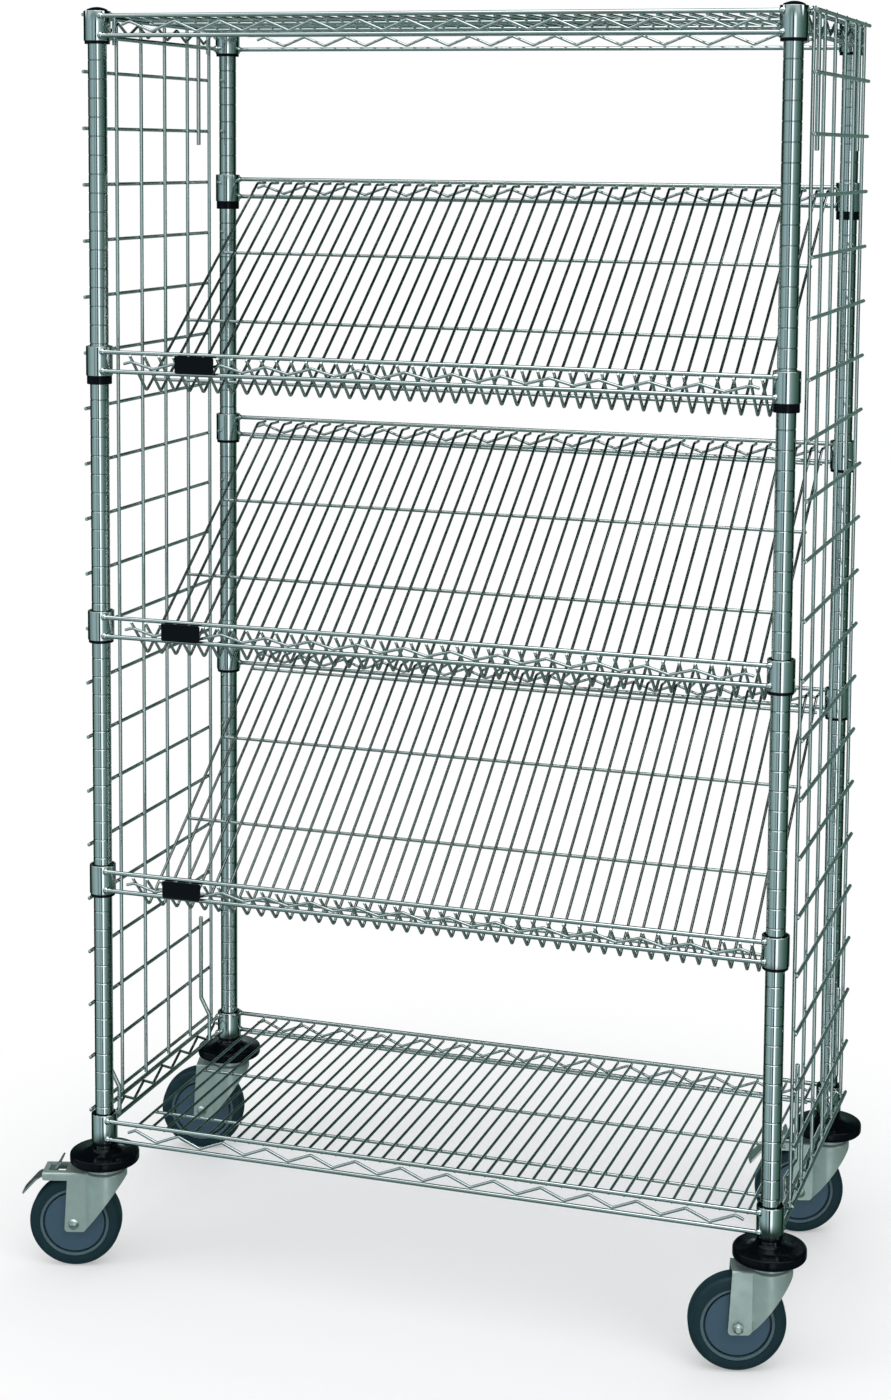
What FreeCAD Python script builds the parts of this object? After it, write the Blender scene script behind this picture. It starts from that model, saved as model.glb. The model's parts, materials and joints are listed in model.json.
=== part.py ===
import FreeCAD, Part
import math
import os

# Slanted shelf cart: four grooved posts on swivel casters carry a flat top shelf, a flat
# bottom shelf and three forward-sloping wire shelves, between two hooked-on side panels.
# Millimetres. X runs across the cart, +Y to its back, +Z up. The origin lies on the floor
# at the centre of the four posts.

# Posts
post_spacing_across = 945.0
post_spacing_deep = 424.0
post_diameter = 25.4
post_wall = 1.5
post_length = 1573.0
groove_pitch = 25.4
groove_width = 2.0
groove_depth = 0.5
first_groove_rise = 8.7
post_above_top_collar = 0.2

# Post caps
cap_diameter = 28.0
cap_brim_height = 1.5
cap_dome_height = 5.0
cap_plug_length = 14.0
cap_plug_clearance = 0.2

# Shelf heights, as shares of the way from the lowest shelf to the highest, set on whole grooves
level_shares = {"bottom": 0.0, "lower": 0.233, "middle": 0.467, "upper": 0.7, "top": 1.0}
rear_rise = 228.6
upper_seat_rise = 7.6

# Collars at the shelf corners, and the split sleeves that they wedge on
collar_height = 40.0
collar_diameter = 36.0
collar_wall = 1.8
collar_taper = 0.8
sleeve_clearance = 0.1
sleeve_drop = 4.0
sleeve_flange_wall = 4.2
sleeve_top_inset = 1.0
sleeve_bead_depth = 0.3
sleeve_bead_height = 1.4
sleeve_split_angle = 5.0

# Shelf frames: two rim wires a side with a zigzag truss wire between them
rim_wire_diameter = 6.0
rim_wire_spacing = 26.0
rim_wire_rise = 7.0
rim_standoff = 13.0
weld_diameter = 9.8
truss_wire_diameter = 4.0
truss_bend_radius = 5.0
truss_wave_length = 64.0
truss_stub_share = 0.35
truss_end_inset = 26.0
contact_gap = 0.05

# Deck wires, laid front to back, and the cross wires under them
deck_wire_diameter = 4.0
deck_wire_pitch = 21.2
deck_wire_count = 41
deck_left_inset = 54.0
deck_right_inset = 27.5
deck_nub_length = 4.0
cross_wire_diameter = 4.5
cross_wire_overhang = 4.0
flat_cross_front_inset = 56.0
flat_cross_pitch = 164.0
flat_cross_count = 3

# Slanted decks
lip_angle = 45.5
lip_length = 72.0
lip_nub_length = 1.0
lip_bend_radius = 5.0
rear_flat_length = 25.0
rear_bend_radius = 12.0
slope_cross_shares = (0.055, 0.345, 0.67, 0.94)

# Label holders on the front rails
label_width = 56.0
label_height = 23.5
label_drop = 1.5
label_plate = 2.0
label_wall = 1.2
label_standoff = 3.2
label_corner_radius = 3.0
label_tab_length = 12.0
label_gap_indexes = {"upper": 4, "middle": 3, "lower": 3}

# Side panels
panel_wire_diameter = 5.0
panel_pitch = 76.2
panel_row_length = 407.0
panel_column_overhang = 5.0
panel_standoff = 2.5
panel_lift = 3.0

# Panel hooks
hook_wire_diameter = 6.0
hook_inner_reach = 8.0
top_hook_outer_length = 170.0
top_hook_inner_length = 36.0
low_hook_rise = 174.0
low_hook_jog_top = 46.0
low_hook_jog_bottom = 20.0
low_hook_drop = 20.0
low_hook_clearance = 0.3
low_hook_bend_radius = 8.0

# Bumpers
bumper_diameter = 96.0
bumper_thickness = 14.0
bumper_hub_base_diameter = 60.0
bumper_hub_diameter = 38.0
bumper_hub_height = 6.0
bumper_edge_radius = 3.5
bumper_bore_clearance = 0.2

# Caster stems and swivel races
stem_diameter = 22.0
stem_length_in_post = 70.0
stem_flange_diameter = 54.0
king_pin_diameter = 12.0
king_pin_head_diameter = 26.0
king_pin_head_height = 3.0
race_height = 11.2
race_groove_radius = 1.6
swivel_clearance = 0.3

# Wheels
wheel_diameter = 127.0
wheel_width = 32.0
tread_thickness = 15.0
tread_edge_radius = 9.0
hub_width = 29.0
hub_rim_width = 4.5
hub_groove_width = 2.2
hub_groove_depth = 2.0
hub_face_recess = 1.0
hub_boss_diameter = 26.0
hub_boss_width = 34.4
axle_diameter = 8.0
running_clearance = 0.05

# Forks
trail = 40.5
trail_heading = 196.7
fork_sheet = 3.0
fork_inner_width = 36.0
fork_crown_radius = 31.0
fork_crown_height = 7.5
fork_fold_radius = 4.0
fork_leg_width = 27.5
fork_leg_below_axle = 11.0
fork_leg_back_margin = 13.0
fork_leg_corner_radius = 5.0
fork_crown_back = 47.0
fork_gusset_drop = 9.0
axle_head_diameter = 15.0
axle_head_height = 4.5
axle_nut_size = 13.0
axle_nut_height = 6.5
axle_end_length = 3.0
axle_seat_gap = 0.05

# Brakes, on the front left and rear right casters
brake_housing_back = 84.0
brake_housing_depth = 11.0
brake_housing_radius = 7.0
brake_slot_back_margin = 7.0
brake_slot_length = 24.0
brake_slot_width = 22.0
brake_pivot_back = 72.0
brake_pivot_drop = 6.5
brake_pin_diameter = 5.0
brake_pin_head_diameter = 8.0
brake_pin_head_height = 1.2
pedal_sheet = 2.5
pedal_hub_diameter = 11.0
pedal_stem_width = 18.0
pedal_tab_width = 32.0
pedal_tab_length = 7.0
pedal_up_reach = 13.0
pedal_up_rise = 20.0
pedal_knee_reach = 20.0
pedal_knee_drop = 4.0
pedal_toe_reach = 41.0
pedal_toe_drop = 27.0
pedal_tongue_width = 28.0
pedal_tongue_start = 13.0
pedal_flare_length = 6.0
pedal_bend_radius = 20.0
pedal_corner_radius = 5.0
pedal_cam_reach = 9.5
pedal_cam_lead = 15.0
pedal_side_clearance = 0.4

# Cutting tools reach this far past what they cut
overrun = 30.0

post_radius = post_diameter / 2
post_bore_radius = post_radius - post_wall
half_across = post_spacing_across / 2
half_deep = post_spacing_deep / 2
collar_radius = collar_diameter / 2
rim_radius = rim_wire_diameter / 2
truss_radius = truss_wire_diameter / 2
deck_radius = deck_wire_diameter / 2
cross_radius = cross_wire_diameter / 2
panel_radius = panel_wire_diameter / 2
hook_radius = hook_wire_diameter / 2

axle_height = wheel_diameter / 2
hub_radius = axle_height - tread_thickness
fork_crown_underside = wheel_diameter + fork_crown_height
fork_top = fork_crown_underside + fork_sheet
race_bottom = fork_top + swivel_clearance
bumper_bottom = race_bottom + race_height
bumper_top = bumper_bottom + bumper_thickness
post_bottom = bumper_top + bumper_hub_height
post_top = post_bottom + post_length
lowest_collar = post_bottom + first_groove_rise
groove_count = int((post_length - first_groove_rise - groove_width) / groove_pitch) + 1
top_collar_lift = post_length - first_groove_rise - collar_height - post_above_top_collar
top_groove = int(top_collar_lift / groove_pitch)
rear_rise_grooves = round(rear_rise / groove_pitch)

rim_front = half_deep + rim_standoff
rim_side = half_across + rim_standoff
deck_left = deck_left_inset - half_across
deck_right = half_across - deck_right_inset
deck_last_regular = deck_left + (deck_wire_count - 1) * deck_wire_pitch

POSTS = {
    "front_left": (-half_across, -half_deep),
    "front_right": (half_across, -half_deep),
    "rear_left": (-half_across, half_deep),
    "rear_right": (half_across, half_deep),
}
FLAT = ("bottom", "top")
SLANTED = ("lower", "middle", "upper")
BRAKED = ("front_left", "rear_right")
NUT_TOWARDS_FRONT = ("front_right",)


def vec(x, y, z):
    return FreeCAD.Vector(x, y, z)


UP = vec(0, 0, 1)
ACROSS = vec(1, 0, 0)
BACK = vec(0, 1, 0)
ORIGIN = vec(0, 0, 0)


def rod(start, end, radius):
    """A round bar between two points."""
    return Part.makeCylinder(radius, (end - start).Length, start, end - start)


def box(low, high):
    """An upright box between two corners."""
    size = high - low
    return Part.makeBox(size.x, size.y, size.z, low)


def turned(points, angle=360.0):
    """A profile of (radius, height) points, turned about the Z axis."""
    corners = [vec(radius, 0, height) for radius, height in points]
    face = Part.Face(Part.makePolygon(corners + corners[:1]))
    return face.revolve(ORIGIN, UP, angle)


def arc_edge(start, middle, end):
    return Part.Arc(start, middle, end).toShape()


def line_edge(start, end):
    return Part.LineSegment(start, end).toShape()


def bent_path(points, bend_radius):
    """Straight runs with a tangent bend at each inner point."""
    edges = []
    run_start = points[0]
    for before, corner, after in zip(points, points[1:], points[2:]):
        into = (corner - before).normalize()
        out = (after - corner).normalize()
        half_turn = into.getAngle(out) / 2
        setback = bend_radius * math.tan(half_turn)
        arc_start = corner - into * setback
        arc_end = corner + out * setback
        inward = (out - into).normalize()
        centre_distance = bend_radius / math.cos(half_turn)
        arc_middle = corner + inward * (centre_distance - bend_radius)
        edges.append(line_edge(run_start, arc_start))
        edges.append(arc_edge(arc_start, arc_middle, arc_end))
        run_start = arc_end
    edges.append(line_edge(run_start, points[-1]))
    return Part.Wire(edges)


def bent_wire(points, bend_radius, radius):
    """A round wire along a bent path."""
    path = bent_path(points, bend_radius)
    section = Part.Wire(Part.makeCircle(radius, points[0], points[1] - points[0]))
    return path.makePipeShell([section], True, False)


def write(node, solids):
    """Write one node's separate solids to its own STEP file."""
    shape = solids[0] if len(solids) == 1 else Part.makeCompound(solids)
    shape.exportStep("parts/" + node + ".step")


def at_post(shape, corner, height=0.0):
    x, y = POSTS[corner]
    placed = shape.copy()
    placed.translate(vec(x, y, height))
    return placed


def seat_rise(level):
    """How much higher than the others a shelf's collars sit on their sleeves."""
    return upper_seat_rise if level == "upper" else 0.0


def collar_base(level, rear):
    """Height of a shelf collar's lower edge."""
    grooves = round(level_shares[level] * top_groove)
    if rear and level in SLANTED:
        grooves += rear_rise_grooves
    return lowest_collar + grooves * groove_pitch + seat_rise(level)


# Posts and caps

def post_shape():
    outline = [line_edge(vec(post_bore_radius, 0, 0), vec(post_radius, 0, 0))]
    here = vec(post_radius, 0, 0)
    for index in range(groove_count):
        middle = first_groove_rise + index * groove_pitch
        groove_low = vec(post_radius, 0, middle - groove_width / 2)
        groove_mid = vec(post_radius - groove_depth, 0, middle)
        groove_high = vec(post_radius, 0, middle + groove_width / 2)
        outline.append(line_edge(here, groove_low))
        outline.append(arc_edge(groove_low, groove_mid, groove_high))
        here = groove_high
    top = vec(post_radius, 0, post_length)
    inner_top = vec(post_bore_radius, 0, post_length)
    outline.append(line_edge(here, top))
    outline.append(line_edge(top, inner_top))
    outline.append(line_edge(inner_top, vec(post_bore_radius, 0, 0)))
    return Part.Face(Part.Wire(outline)).revolve(ORIGIN, UP, 360.0)


def cap_shape():
    plug_radius = post_bore_radius - cap_plug_clearance
    cap_radius = cap_diameter / 2
    dome_start = vec(cap_radius, 0, cap_brim_height)
    dome_top = vec(0, 0, cap_dome_height)
    dome_rise = cap_dome_height - cap_brim_height
    ball_radius = (cap_radius ** 2 + dome_rise ** 2) / (2 * dome_rise)
    half_sweep = math.asin(cap_radius / ball_radius) / 2
    dome_middle = vec(ball_radius * math.sin(half_sweep), 0,
                      cap_dome_height - ball_radius * (1 - math.cos(half_sweep)))
    corners = [dome_top, vec(0, 0, -cap_plug_length), vec(plug_radius, 0, -cap_plug_length),
               vec(plug_radius, 0, 0), vec(cap_radius, 0, 0), dome_start]
    edges = [line_edge(a, b) for a, b in zip(corners, corners[1:])]
    edges.append(arc_edge(dome_start, dome_middle, dome_top))
    return Part.Face(Part.Wire(edges)).revolve(ORIGIN, UP, 360.0)


def build_posts():
    post = post_shape()
    for corner in POSTS:
        write(corner + "_post", [at_post(post, corner, post_bottom)])
    cap = cap_shape()
    write("post_caps", [at_post(cap, corner, post_top) for corner in POSTS])


# Collars and split sleeves

collar_bottom_bore = collar_radius - collar_wall
collar_top_bore = collar_bottom_bore - collar_taper


def collar_shape():
    return turned([(collar_bottom_bore, 0), (collar_radius, 0),
                   (collar_radius, collar_height), (collar_top_bore, collar_height)])


def sleeve_halves(rise):
    """The two halves of a tapered sleeve, with the bead that drops into a post groove."""
    inner = post_radius + sleeve_clearance
    foot = -sleeve_drop - rise
    top = collar_height - sleeve_top_inset - rise
    low_outer = collar_bottom_bore - sleeve_clearance
    high_outer = collar_top_bore - sleeve_clearance
    flange = post_radius + sleeve_flange_wall
    bead_mid = groove_pitch - rise
    bead_low = bead_mid - sleeve_bead_height / 2
    bead_high = bead_mid + sleeve_bead_height / 2
    bead_radius = inner - sleeve_bead_depth
    half = turned([(inner, foot), (flange, foot), (flange, -contact_gap),
                   (low_outer, -contact_gap), (low_outer, 0), (high_outer, top), (inner, top),
                   (inner, bead_high), (bead_radius, bead_mid), (inner, bead_low)],
                  180.0 - sleeve_split_angle)
    other = half.copy()
    other.rotate(ORIGIN, UP, 180.0)
    return half, other


def build_collars():
    collar = collar_shape()
    sleeves = []
    for level in level_shares:
        halves = sleeve_halves(seat_rise(level))
        collars = []
        for corner in POSTS:
            base = collar_base(level, corner.startswith("rear"))
            collars.append(at_post(collar, corner, base))
            sleeves.extend(at_post(half, corner, base) for half in halves)
        write(level + "_shelf_collars", collars)
    write("split_sleeves", sleeves)


# Shelf frames

def rim_wire(start_corner, end_corner, outward, height):
    """One rim wire between two collars, with a weld bead at each end."""
    start = vec(*POSTS[start_corner], height) + outward * rim_standoff
    end = vec(*POSTS[end_corner], height) + outward * rim_standoff
    along = (end - start).normalize()
    reach = along * math.sqrt(collar_radius ** 2 - rim_standoff ** 2)
    weld = weld_diameter / 2
    wire = rod(start, end, rim_radius)
    wire = wire.fuse([Part.makeSphere(weld, start + reach), Part.makeSphere(weld, end - reach)])
    base = height - overrun
    for corner in (start_corner, end_corner):
        barrel = Part.makeCylinder(collar_radius, 2 * overrun, vec(*POSTS[corner], base), UP)
        wire = wire.cut(barrel)
    return wire.removeSplitter().Solids[0]


def rim_pair(start_corner, end_corner, outward, base):
    lower = base + rim_wire_rise
    return [rim_wire(start_corner, end_corner, outward, lower),
            rim_wire(start_corner, end_corner, outward, lower + rim_wire_spacing)]


def truss(first_peak, last_peak, base, peak_drop):
    """A zigzag wire that stands on the lower rim wire and peaks below the upper one."""
    valley = base + rim_wire_rise + rim_radius + truss_radius + contact_gap
    peak = base + rim_wire_rise + rim_wire_spacing - peak_drop - truss_radius - contact_gap
    run = last_peak - first_peak
    waves = round(run.Length / truss_wave_length)
    half_wave = run / (2 * waves)
    stub = half_wave * truss_stub_share
    stub_height = peak - (peak - valley) * truss_stub_share
    points = [first_peak - stub + UP * stub_height]
    for index in range(2 * waves + 1):
        height = valley if index % 2 else peak
        points.append(first_peak + half_wave * index + UP * height)
    points.append(last_peak + stub + UP * stub_height)
    return bent_wire(points, truss_bend_radius, truss_radius)


def across_truss(y, base, peak_drop):
    first = vec(deck_left, y, 0)
    last = vec(deck_last_regular, y, 0)
    return truss(first, last, base, peak_drop)


def deep_truss(x, base):
    first = vec(x, truss_end_inset - half_deep, 0)
    last = vec(x, half_deep - truss_end_inset, 0)
    return truss(first, last, base, rim_radius)


def deck_places():
    """Places of the deck wires across the shelf, with the odd one at the right end."""
    regular = [deck_left + index * deck_wire_pitch for index in range(deck_wire_count)]
    return regular + [deck_right]


deck_below_rim = rim_radius + deck_radius + contact_gap


def build_flat_shelf(level):
    base = collar_base(level, False)
    top_rim = base + rim_wire_rise + rim_wire_spacing
    rims = []
    rims += rim_pair("front_left", "front_right", -BACK, base)
    rims += rim_pair("rear_left", "rear_right", BACK, base)
    rims += rim_pair("front_left", "rear_left", -ACROSS, base)
    rims += rim_pair("front_right", "rear_right", ACROSS, base)
    write(level + "_shelf_rim_wires", rims)

    peak_drop = deck_below_rim + deck_radius
    write(level + "_shelf_truss_wires", [
        across_truss(-rim_front, base, peak_drop), across_truss(rim_front, base, peak_drop),
        deep_truss(-rim_side, base), deep_truss(rim_side, base)])

    deck_height = top_rim - deck_below_rim
    deck_end = rim_front + deck_nub_length
    write(level + "_shelf_deck_wires", [
        rod(vec(x, -deck_end, deck_height), vec(x, deck_end, deck_height), deck_radius)
        for x in deck_places()])

    cross_height = deck_height - deck_radius - cross_radius - contact_gap
    left_end = deck_left - cross_wire_overhang
    right_end = deck_right + cross_wire_overhang
    crosses = []
    for index in range(flat_cross_count):
        y = flat_cross_front_inset - half_deep + index * flat_cross_pitch
        crosses.append(rod(vec(left_end, y, cross_height), vec(right_end, y, cross_height),
                           cross_radius))
    write(level + "_shelf_cross_wires", crosses)


# Slanted decks, drawn in the (back, up) plane

def slope_points(level):
    """Ends and bends of one slanted deck wire, from its front lip to its rear end."""
    front_rim = vec(0, -rim_front, collar_base(level, False) + rim_wire_rise + rim_wire_spacing)
    rear_rim = vec(0, rim_front, collar_base(level, True) + rim_wire_rise + rim_wire_spacing)
    tilt = math.radians(lip_angle)
    along_lip = vec(0, -math.cos(tilt), math.sin(tilt))
    below_lip = vec(0, -math.sin(tilt), -math.cos(tilt))
    touch = front_rim + below_lip * deck_below_rim
    lip_end = touch + along_lip * lip_nub_length
    tip = touch - along_lip * lip_length
    rear_end = rear_rim + BACK * deck_nub_length - UP * deck_below_rim
    rear_bend = rear_rim - BACK * rear_flat_length - UP * deck_below_rim
    return lip_end, tip, rear_bend, rear_end


def slanted_deck_wire(level):
    lip_end, tip, rear_bend, rear_end = slope_points(level)
    slope = (rear_bend - tip).normalize()
    joint = tip + slope * (lip_length / 2)
    front = bent_wire([lip_end, tip, joint], lip_bend_radius, deck_radius)
    rear = bent_wire([joint, rear_bend, rear_end], rear_bend_radius, deck_radius)
    return front.fuse(rear).removeSplitter().Solids[0]


def lip_rise_below_rim():
    """How far the lip wires reach below the axis of the front rail's upper wire."""
    tilt = math.radians(lip_angle)
    return (deck_below_rim + deck_radius) / math.cos(tilt)


def build_slanted_shelf(level):
    front_base = collar_base(level, False)
    rear_base = collar_base(level, True)
    rails = rim_pair("front_left", "front_right", -BACK, front_base)
    rails += rim_pair("rear_left", "rear_right", BACK, rear_base)
    write(level + "_shelf_rail_wires", rails)
    write(level + "_shelf_truss_wires", [
        across_truss(-rim_front, front_base, lip_rise_below_rim()),
        across_truss(rim_front, rear_base, deck_below_rim + deck_radius)])

    deck_wire = slanted_deck_wire(level)
    decks = []
    for x in deck_places():
        placed = deck_wire.copy()
        placed.translate(vec(x, 0, 0))
        decks.append(placed)
    write(level + "_shelf_deck_wires", decks)

    lip_end, tip, rear_bend, rear_end = slope_points(level)
    slope = rear_bend - tip
    beneath = slope.cross(ACROSS).normalize() * (deck_radius + cross_radius + contact_gap)
    crosses = []
    for share in slope_cross_shares:
        middle = rear_bend - slope * share + beneath
        left_end = middle + ACROSS * (deck_left - cross_wire_overhang)
        right_end = middle + ACROSS * (deck_right + cross_wire_overhang)
        crosses.append(rod(left_end, right_end, cross_radius))
    write(level + "_shelf_cross_wires", crosses)


# Label holders

def label_holder(level):
    """A shallow tray that stands against the front rail's two wires, open at the back."""
    base = collar_base(level, False)
    top = base + rim_wire_rise + rim_wire_spacing - label_drop
    bottom = top - label_height
    middle = deck_left + (label_gap_indexes[level] + 0.5) * deck_wire_pitch
    left = middle - label_width / 2
    right = middle + label_width / 2
    back = -rim_front - rim_radius - contact_gap
    plate_back = back - label_standoff
    front = plate_back - label_plate
    plate = box(vec(left, front, bottom), vec(right, plate_back, top))
    corners = [edge for edge in plate.Edges
               if abs(edge.tangentAt(edge.FirstParameter).dot(BACK)) > 0.5]
    plate = plate.makeFillet(label_corner_radius, corners)
    inner_left = left + label_corner_radius
    inner_right = right - label_corner_radius
    shelf = box(vec(inner_left, plate_back, bottom), vec(inner_right, back, bottom + label_wall))
    walls = [shelf]
    for step in (-1, 0, 1):
        tab_middle = middle + step * deck_wire_pitch
        tab_left = max(tab_middle - label_tab_length / 2, inner_left)
        tab_right = min(tab_middle + label_tab_length / 2, inner_right)
        walls.append(box(vec(tab_left, plate_back, top - label_wall), vec(tab_right, back, top)))
    return plate.fuse(walls).removeSplitter().Solids[0]


# Side panels

column_plane = rim_side + rim_radius + panel_standoff + panel_radius
row_plane = column_plane + 2 * panel_radius + contact_gap
hook_plane = row_plane - panel_radius - hook_radius - contact_gap
panel_bottom = lowest_collar + rim_wire_rise + rim_wire_spacing + panel_lift
panel_row_gaps = round((collar_base("top", False) - lowest_collar) / panel_pitch)
panel_top = panel_bottom + panel_row_gaps * panel_pitch
panel_column_gaps = int(panel_row_length / panel_pitch)
column_half_span = panel_column_gaps * panel_pitch / 2
row_end = panel_row_length / 2
hook_place = column_half_span - panel_pitch / 2


def top_hook(side, y):
    """A rod that hangs over the top shelf's side rim."""
    rim_height = collar_base("top", False) + rim_wire_rise + rim_wire_spacing
    inner_plane = rim_side - hook_inner_reach
    arc_radius = (hook_plane - inner_plane) / 2
    arc_middle = (hook_plane + inner_plane) / 2
    arc_height = rim_height + rim_radius + hook_radius + contact_gap - arc_radius
    outer = vec(side * hook_plane, y, 0)
    inner = vec(side * inner_plane, y, 0)
    path = Part.Wire([
        line_edge(outer + UP * (rim_height - top_hook_outer_length), outer + UP * arc_height),
        arc_edge(outer + UP * arc_height, vec(side * arc_middle, y, arc_height + arc_radius),
                 inner + UP * arc_height),
        line_edge(inner + UP * arc_height, inner + UP * (rim_height - top_hook_inner_length))])
    start = outer + UP * (rim_height - top_hook_outer_length)
    section = Part.Wire(Part.makeCircle(hook_radius, start, UP))
    return path.makePipeShell([section], True, False)


def low_hook(side, y):
    """A rod that steps inside the bottom shelf's side rim."""
    rim_height = collar_base("bottom", False) + rim_wire_rise + rim_wire_spacing
    inner_plane = rim_side - rim_radius - hook_radius - low_hook_clearance
    outer = vec(side * hook_plane, y, rim_height)
    inner = vec(side * inner_plane, y, rim_height)
    return bent_wire([outer + UP * low_hook_rise, outer + UP * low_hook_jog_top,
                      inner + UP * low_hook_jog_bottom, inner - UP * low_hook_drop],
                     low_hook_bend_radius, hook_radius)


def build_panel(name, side):
    columns = []
    for index in range(panel_column_gaps + 1):
        y = index * panel_pitch - column_half_span
        foot = vec(side * column_plane, y, panel_bottom - panel_column_overhang)
        head = vec(side * column_plane, y, panel_top + panel_column_overhang)
        columns.append(rod(foot, head, panel_radius))
    rows = []
    for index in range(panel_row_gaps + 1):
        z = panel_bottom + index * panel_pitch
        rows.append(rod(vec(side * row_plane, -row_end, z), vec(side * row_plane, row_end, z),
                        panel_radius))
    hooks = []
    for y in (-hook_place, hook_place):
        hooks += [top_hook(side, y), low_hook(side, y)]
    write(name + "_panel_upright_wires", columns)
    write(name + "_panel_level_wires", rows)
    write(name + "_panel_hooks", hooks)


# Casters, drawn with the wheel trailing along +X and the swivel on the Z axis

def bumper_shape():
    bore = stem_diameter / 2 + bumper_bore_clearance
    rim = bumper_diameter / 2
    disc = Part.makeCylinder(rim, bumper_thickness, vec(0, 0, bumper_bottom), UP)
    edges = [edge for edge in disc.Edges if isinstance(edge.Curve, Part.Circle)]
    disc = disc.makeFillet(bumper_edge_radius, edges)
    hub = Part.makeCone(bumper_hub_base_diameter / 2, bumper_hub_diameter / 2, bumper_hub_height,
                        vec(0, 0, bumper_top), UP)
    hole = Part.makeCylinder(bore, bumper_thickness + 2 * overrun,
                             vec(0, 0, bumper_bottom - overrun), UP)
    return disc.fuse(hub).cut(hole).removeSplitter().Solids[0]


def stem_shape():
    """The stem in the post, its flange under the bumper and the king pin below."""
    stem = stem_diameter / 2
    pin = king_pin_diameter / 2
    head = king_pin_head_diameter / 2
    head_top = fork_crown_underside - swivel_clearance
    head_bottom = head_top - king_pin_head_height
    stem_top = post_bottom + stem_length_in_post
    return turned([(0, head_bottom), (head, head_bottom), (head, head_top), (pin, head_top),
                   (pin, race_bottom), (stem, bumper_bottom), (stem, stem_top), (0, stem_top)])


def race_shape():
    """The fixed upper race, a washer with a ball groove in its lower face."""
    bore = stem_diameter / 2 + running_clearance
    outer = stem_flange_diameter / 2
    washer = Part.makeCylinder(outer, race_height, vec(0, 0, race_bottom), UP)
    washer = washer.cut(Part.makeCylinder(bore, race_height, vec(0, 0, race_bottom), UP))
    ball_circle = (bore + outer) / 2
    groove = Part.makeTorus(ball_circle, race_groove_radius, vec(0, 0, race_bottom), UP)
    return washer.cut(groove)


def wheel_tread():
    """A tyre with rounded shoulders, about the axle along Y."""
    outer = wheel_diameter / 2
    half_width = wheel_width / 2
    blank = Part.makeCylinder(outer, wheel_width, vec(0, 0, -half_width), UP)
    edges = [edge for edge in blank.Edges if isinstance(edge.Curve, Part.Circle)]
    blank = blank.makeFillet(tread_edge_radius, edges)
    hole = Part.makeCylinder(hub_radius, wheel_width, vec(0, 0, -half_width), UP)
    return stand_wheel(blank.cut(hole))


def wheel_hub():
    """A hub with a ring groove in each face and a bored boss."""
    ring = hub_radius - hub_rim_width
    face = hub_width / 2
    groove_floor = face - hub_groove_depth
    inner_ring = ring - hub_groove_width
    plate = face - hub_face_recess
    boss = hub_boss_diameter / 2
    boss_end = hub_boss_width / 2
    bore = axle_diameter / 2 + running_clearance
    near = [(hub_radius, face), (ring, face), (ring, groove_floor), (inner_ring, groove_floor),
            (inner_ring, plate), (boss, plate), (boss, boss_end), (bore, boss_end)]
    far = [(radius, -height) for radius, height in reversed(near)]
    return stand_wheel(turned(near + far))


def stand_wheel(shape):
    """Turn a wheel piece from the Z axis to the axle, behind the swivel."""
    shape.rotate(ORIGIN, ACROSS, 90.0)
    shape.translate(vec(trail, 0, axle_height))
    return shape


def fork_blank(inset, top):
    """The pressed fork's plan, a round crown with straight sides, as a solid below a height."""
    radius = fork_crown_radius - inset
    half_width = fork_inner_width / 2 + fork_sheet - inset
    bottom = axle_height - fork_leg_below_axle
    crown = Part.makeCylinder(radius, top - bottom, vec(0, 0, bottom), UP)
    sides = box(vec(0, -half_width, bottom), vec(brake_housing_back + overrun, half_width, top))
    return crown.fuse(sides).removeSplitter()


def side_profile(points, corner_radius=0.0):
    """A side view of the fork as a solid right across it, with its lower corners rounded."""
    width = fork_crown_radius + overrun
    corners = [vec(u, -width, z) for u, z in points]
    solid = Part.Face(Part.makePolygon(corners + corners[:1])).extrude(BACK * (2 * width))
    if corner_radius:
        low = min(z for u, z in points)
        edges = [edge for edge in solid.Edges
                 if abs(edge.Vertexes[0].Z - low) < contact_gap
                 and abs(edge.Vertexes[-1].Z - low) < contact_gap
                 and abs(edge.tangentAt(edge.FirstParameter).dot(BACK)) > 0.5]
        solid = solid.makeFillet(corner_radius, edges)
    return solid


leg_bottom = axle_height - fork_leg_below_axle
leg_back_low = trail + fork_leg_back_margin
leg_front_low = leg_back_low - fork_leg_width
gusset_top = fork_top - fork_gusset_drop
leg_face = fork_inner_width / 2 + fork_sheet
pivot_height = fork_top - brake_pivot_drop


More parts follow.
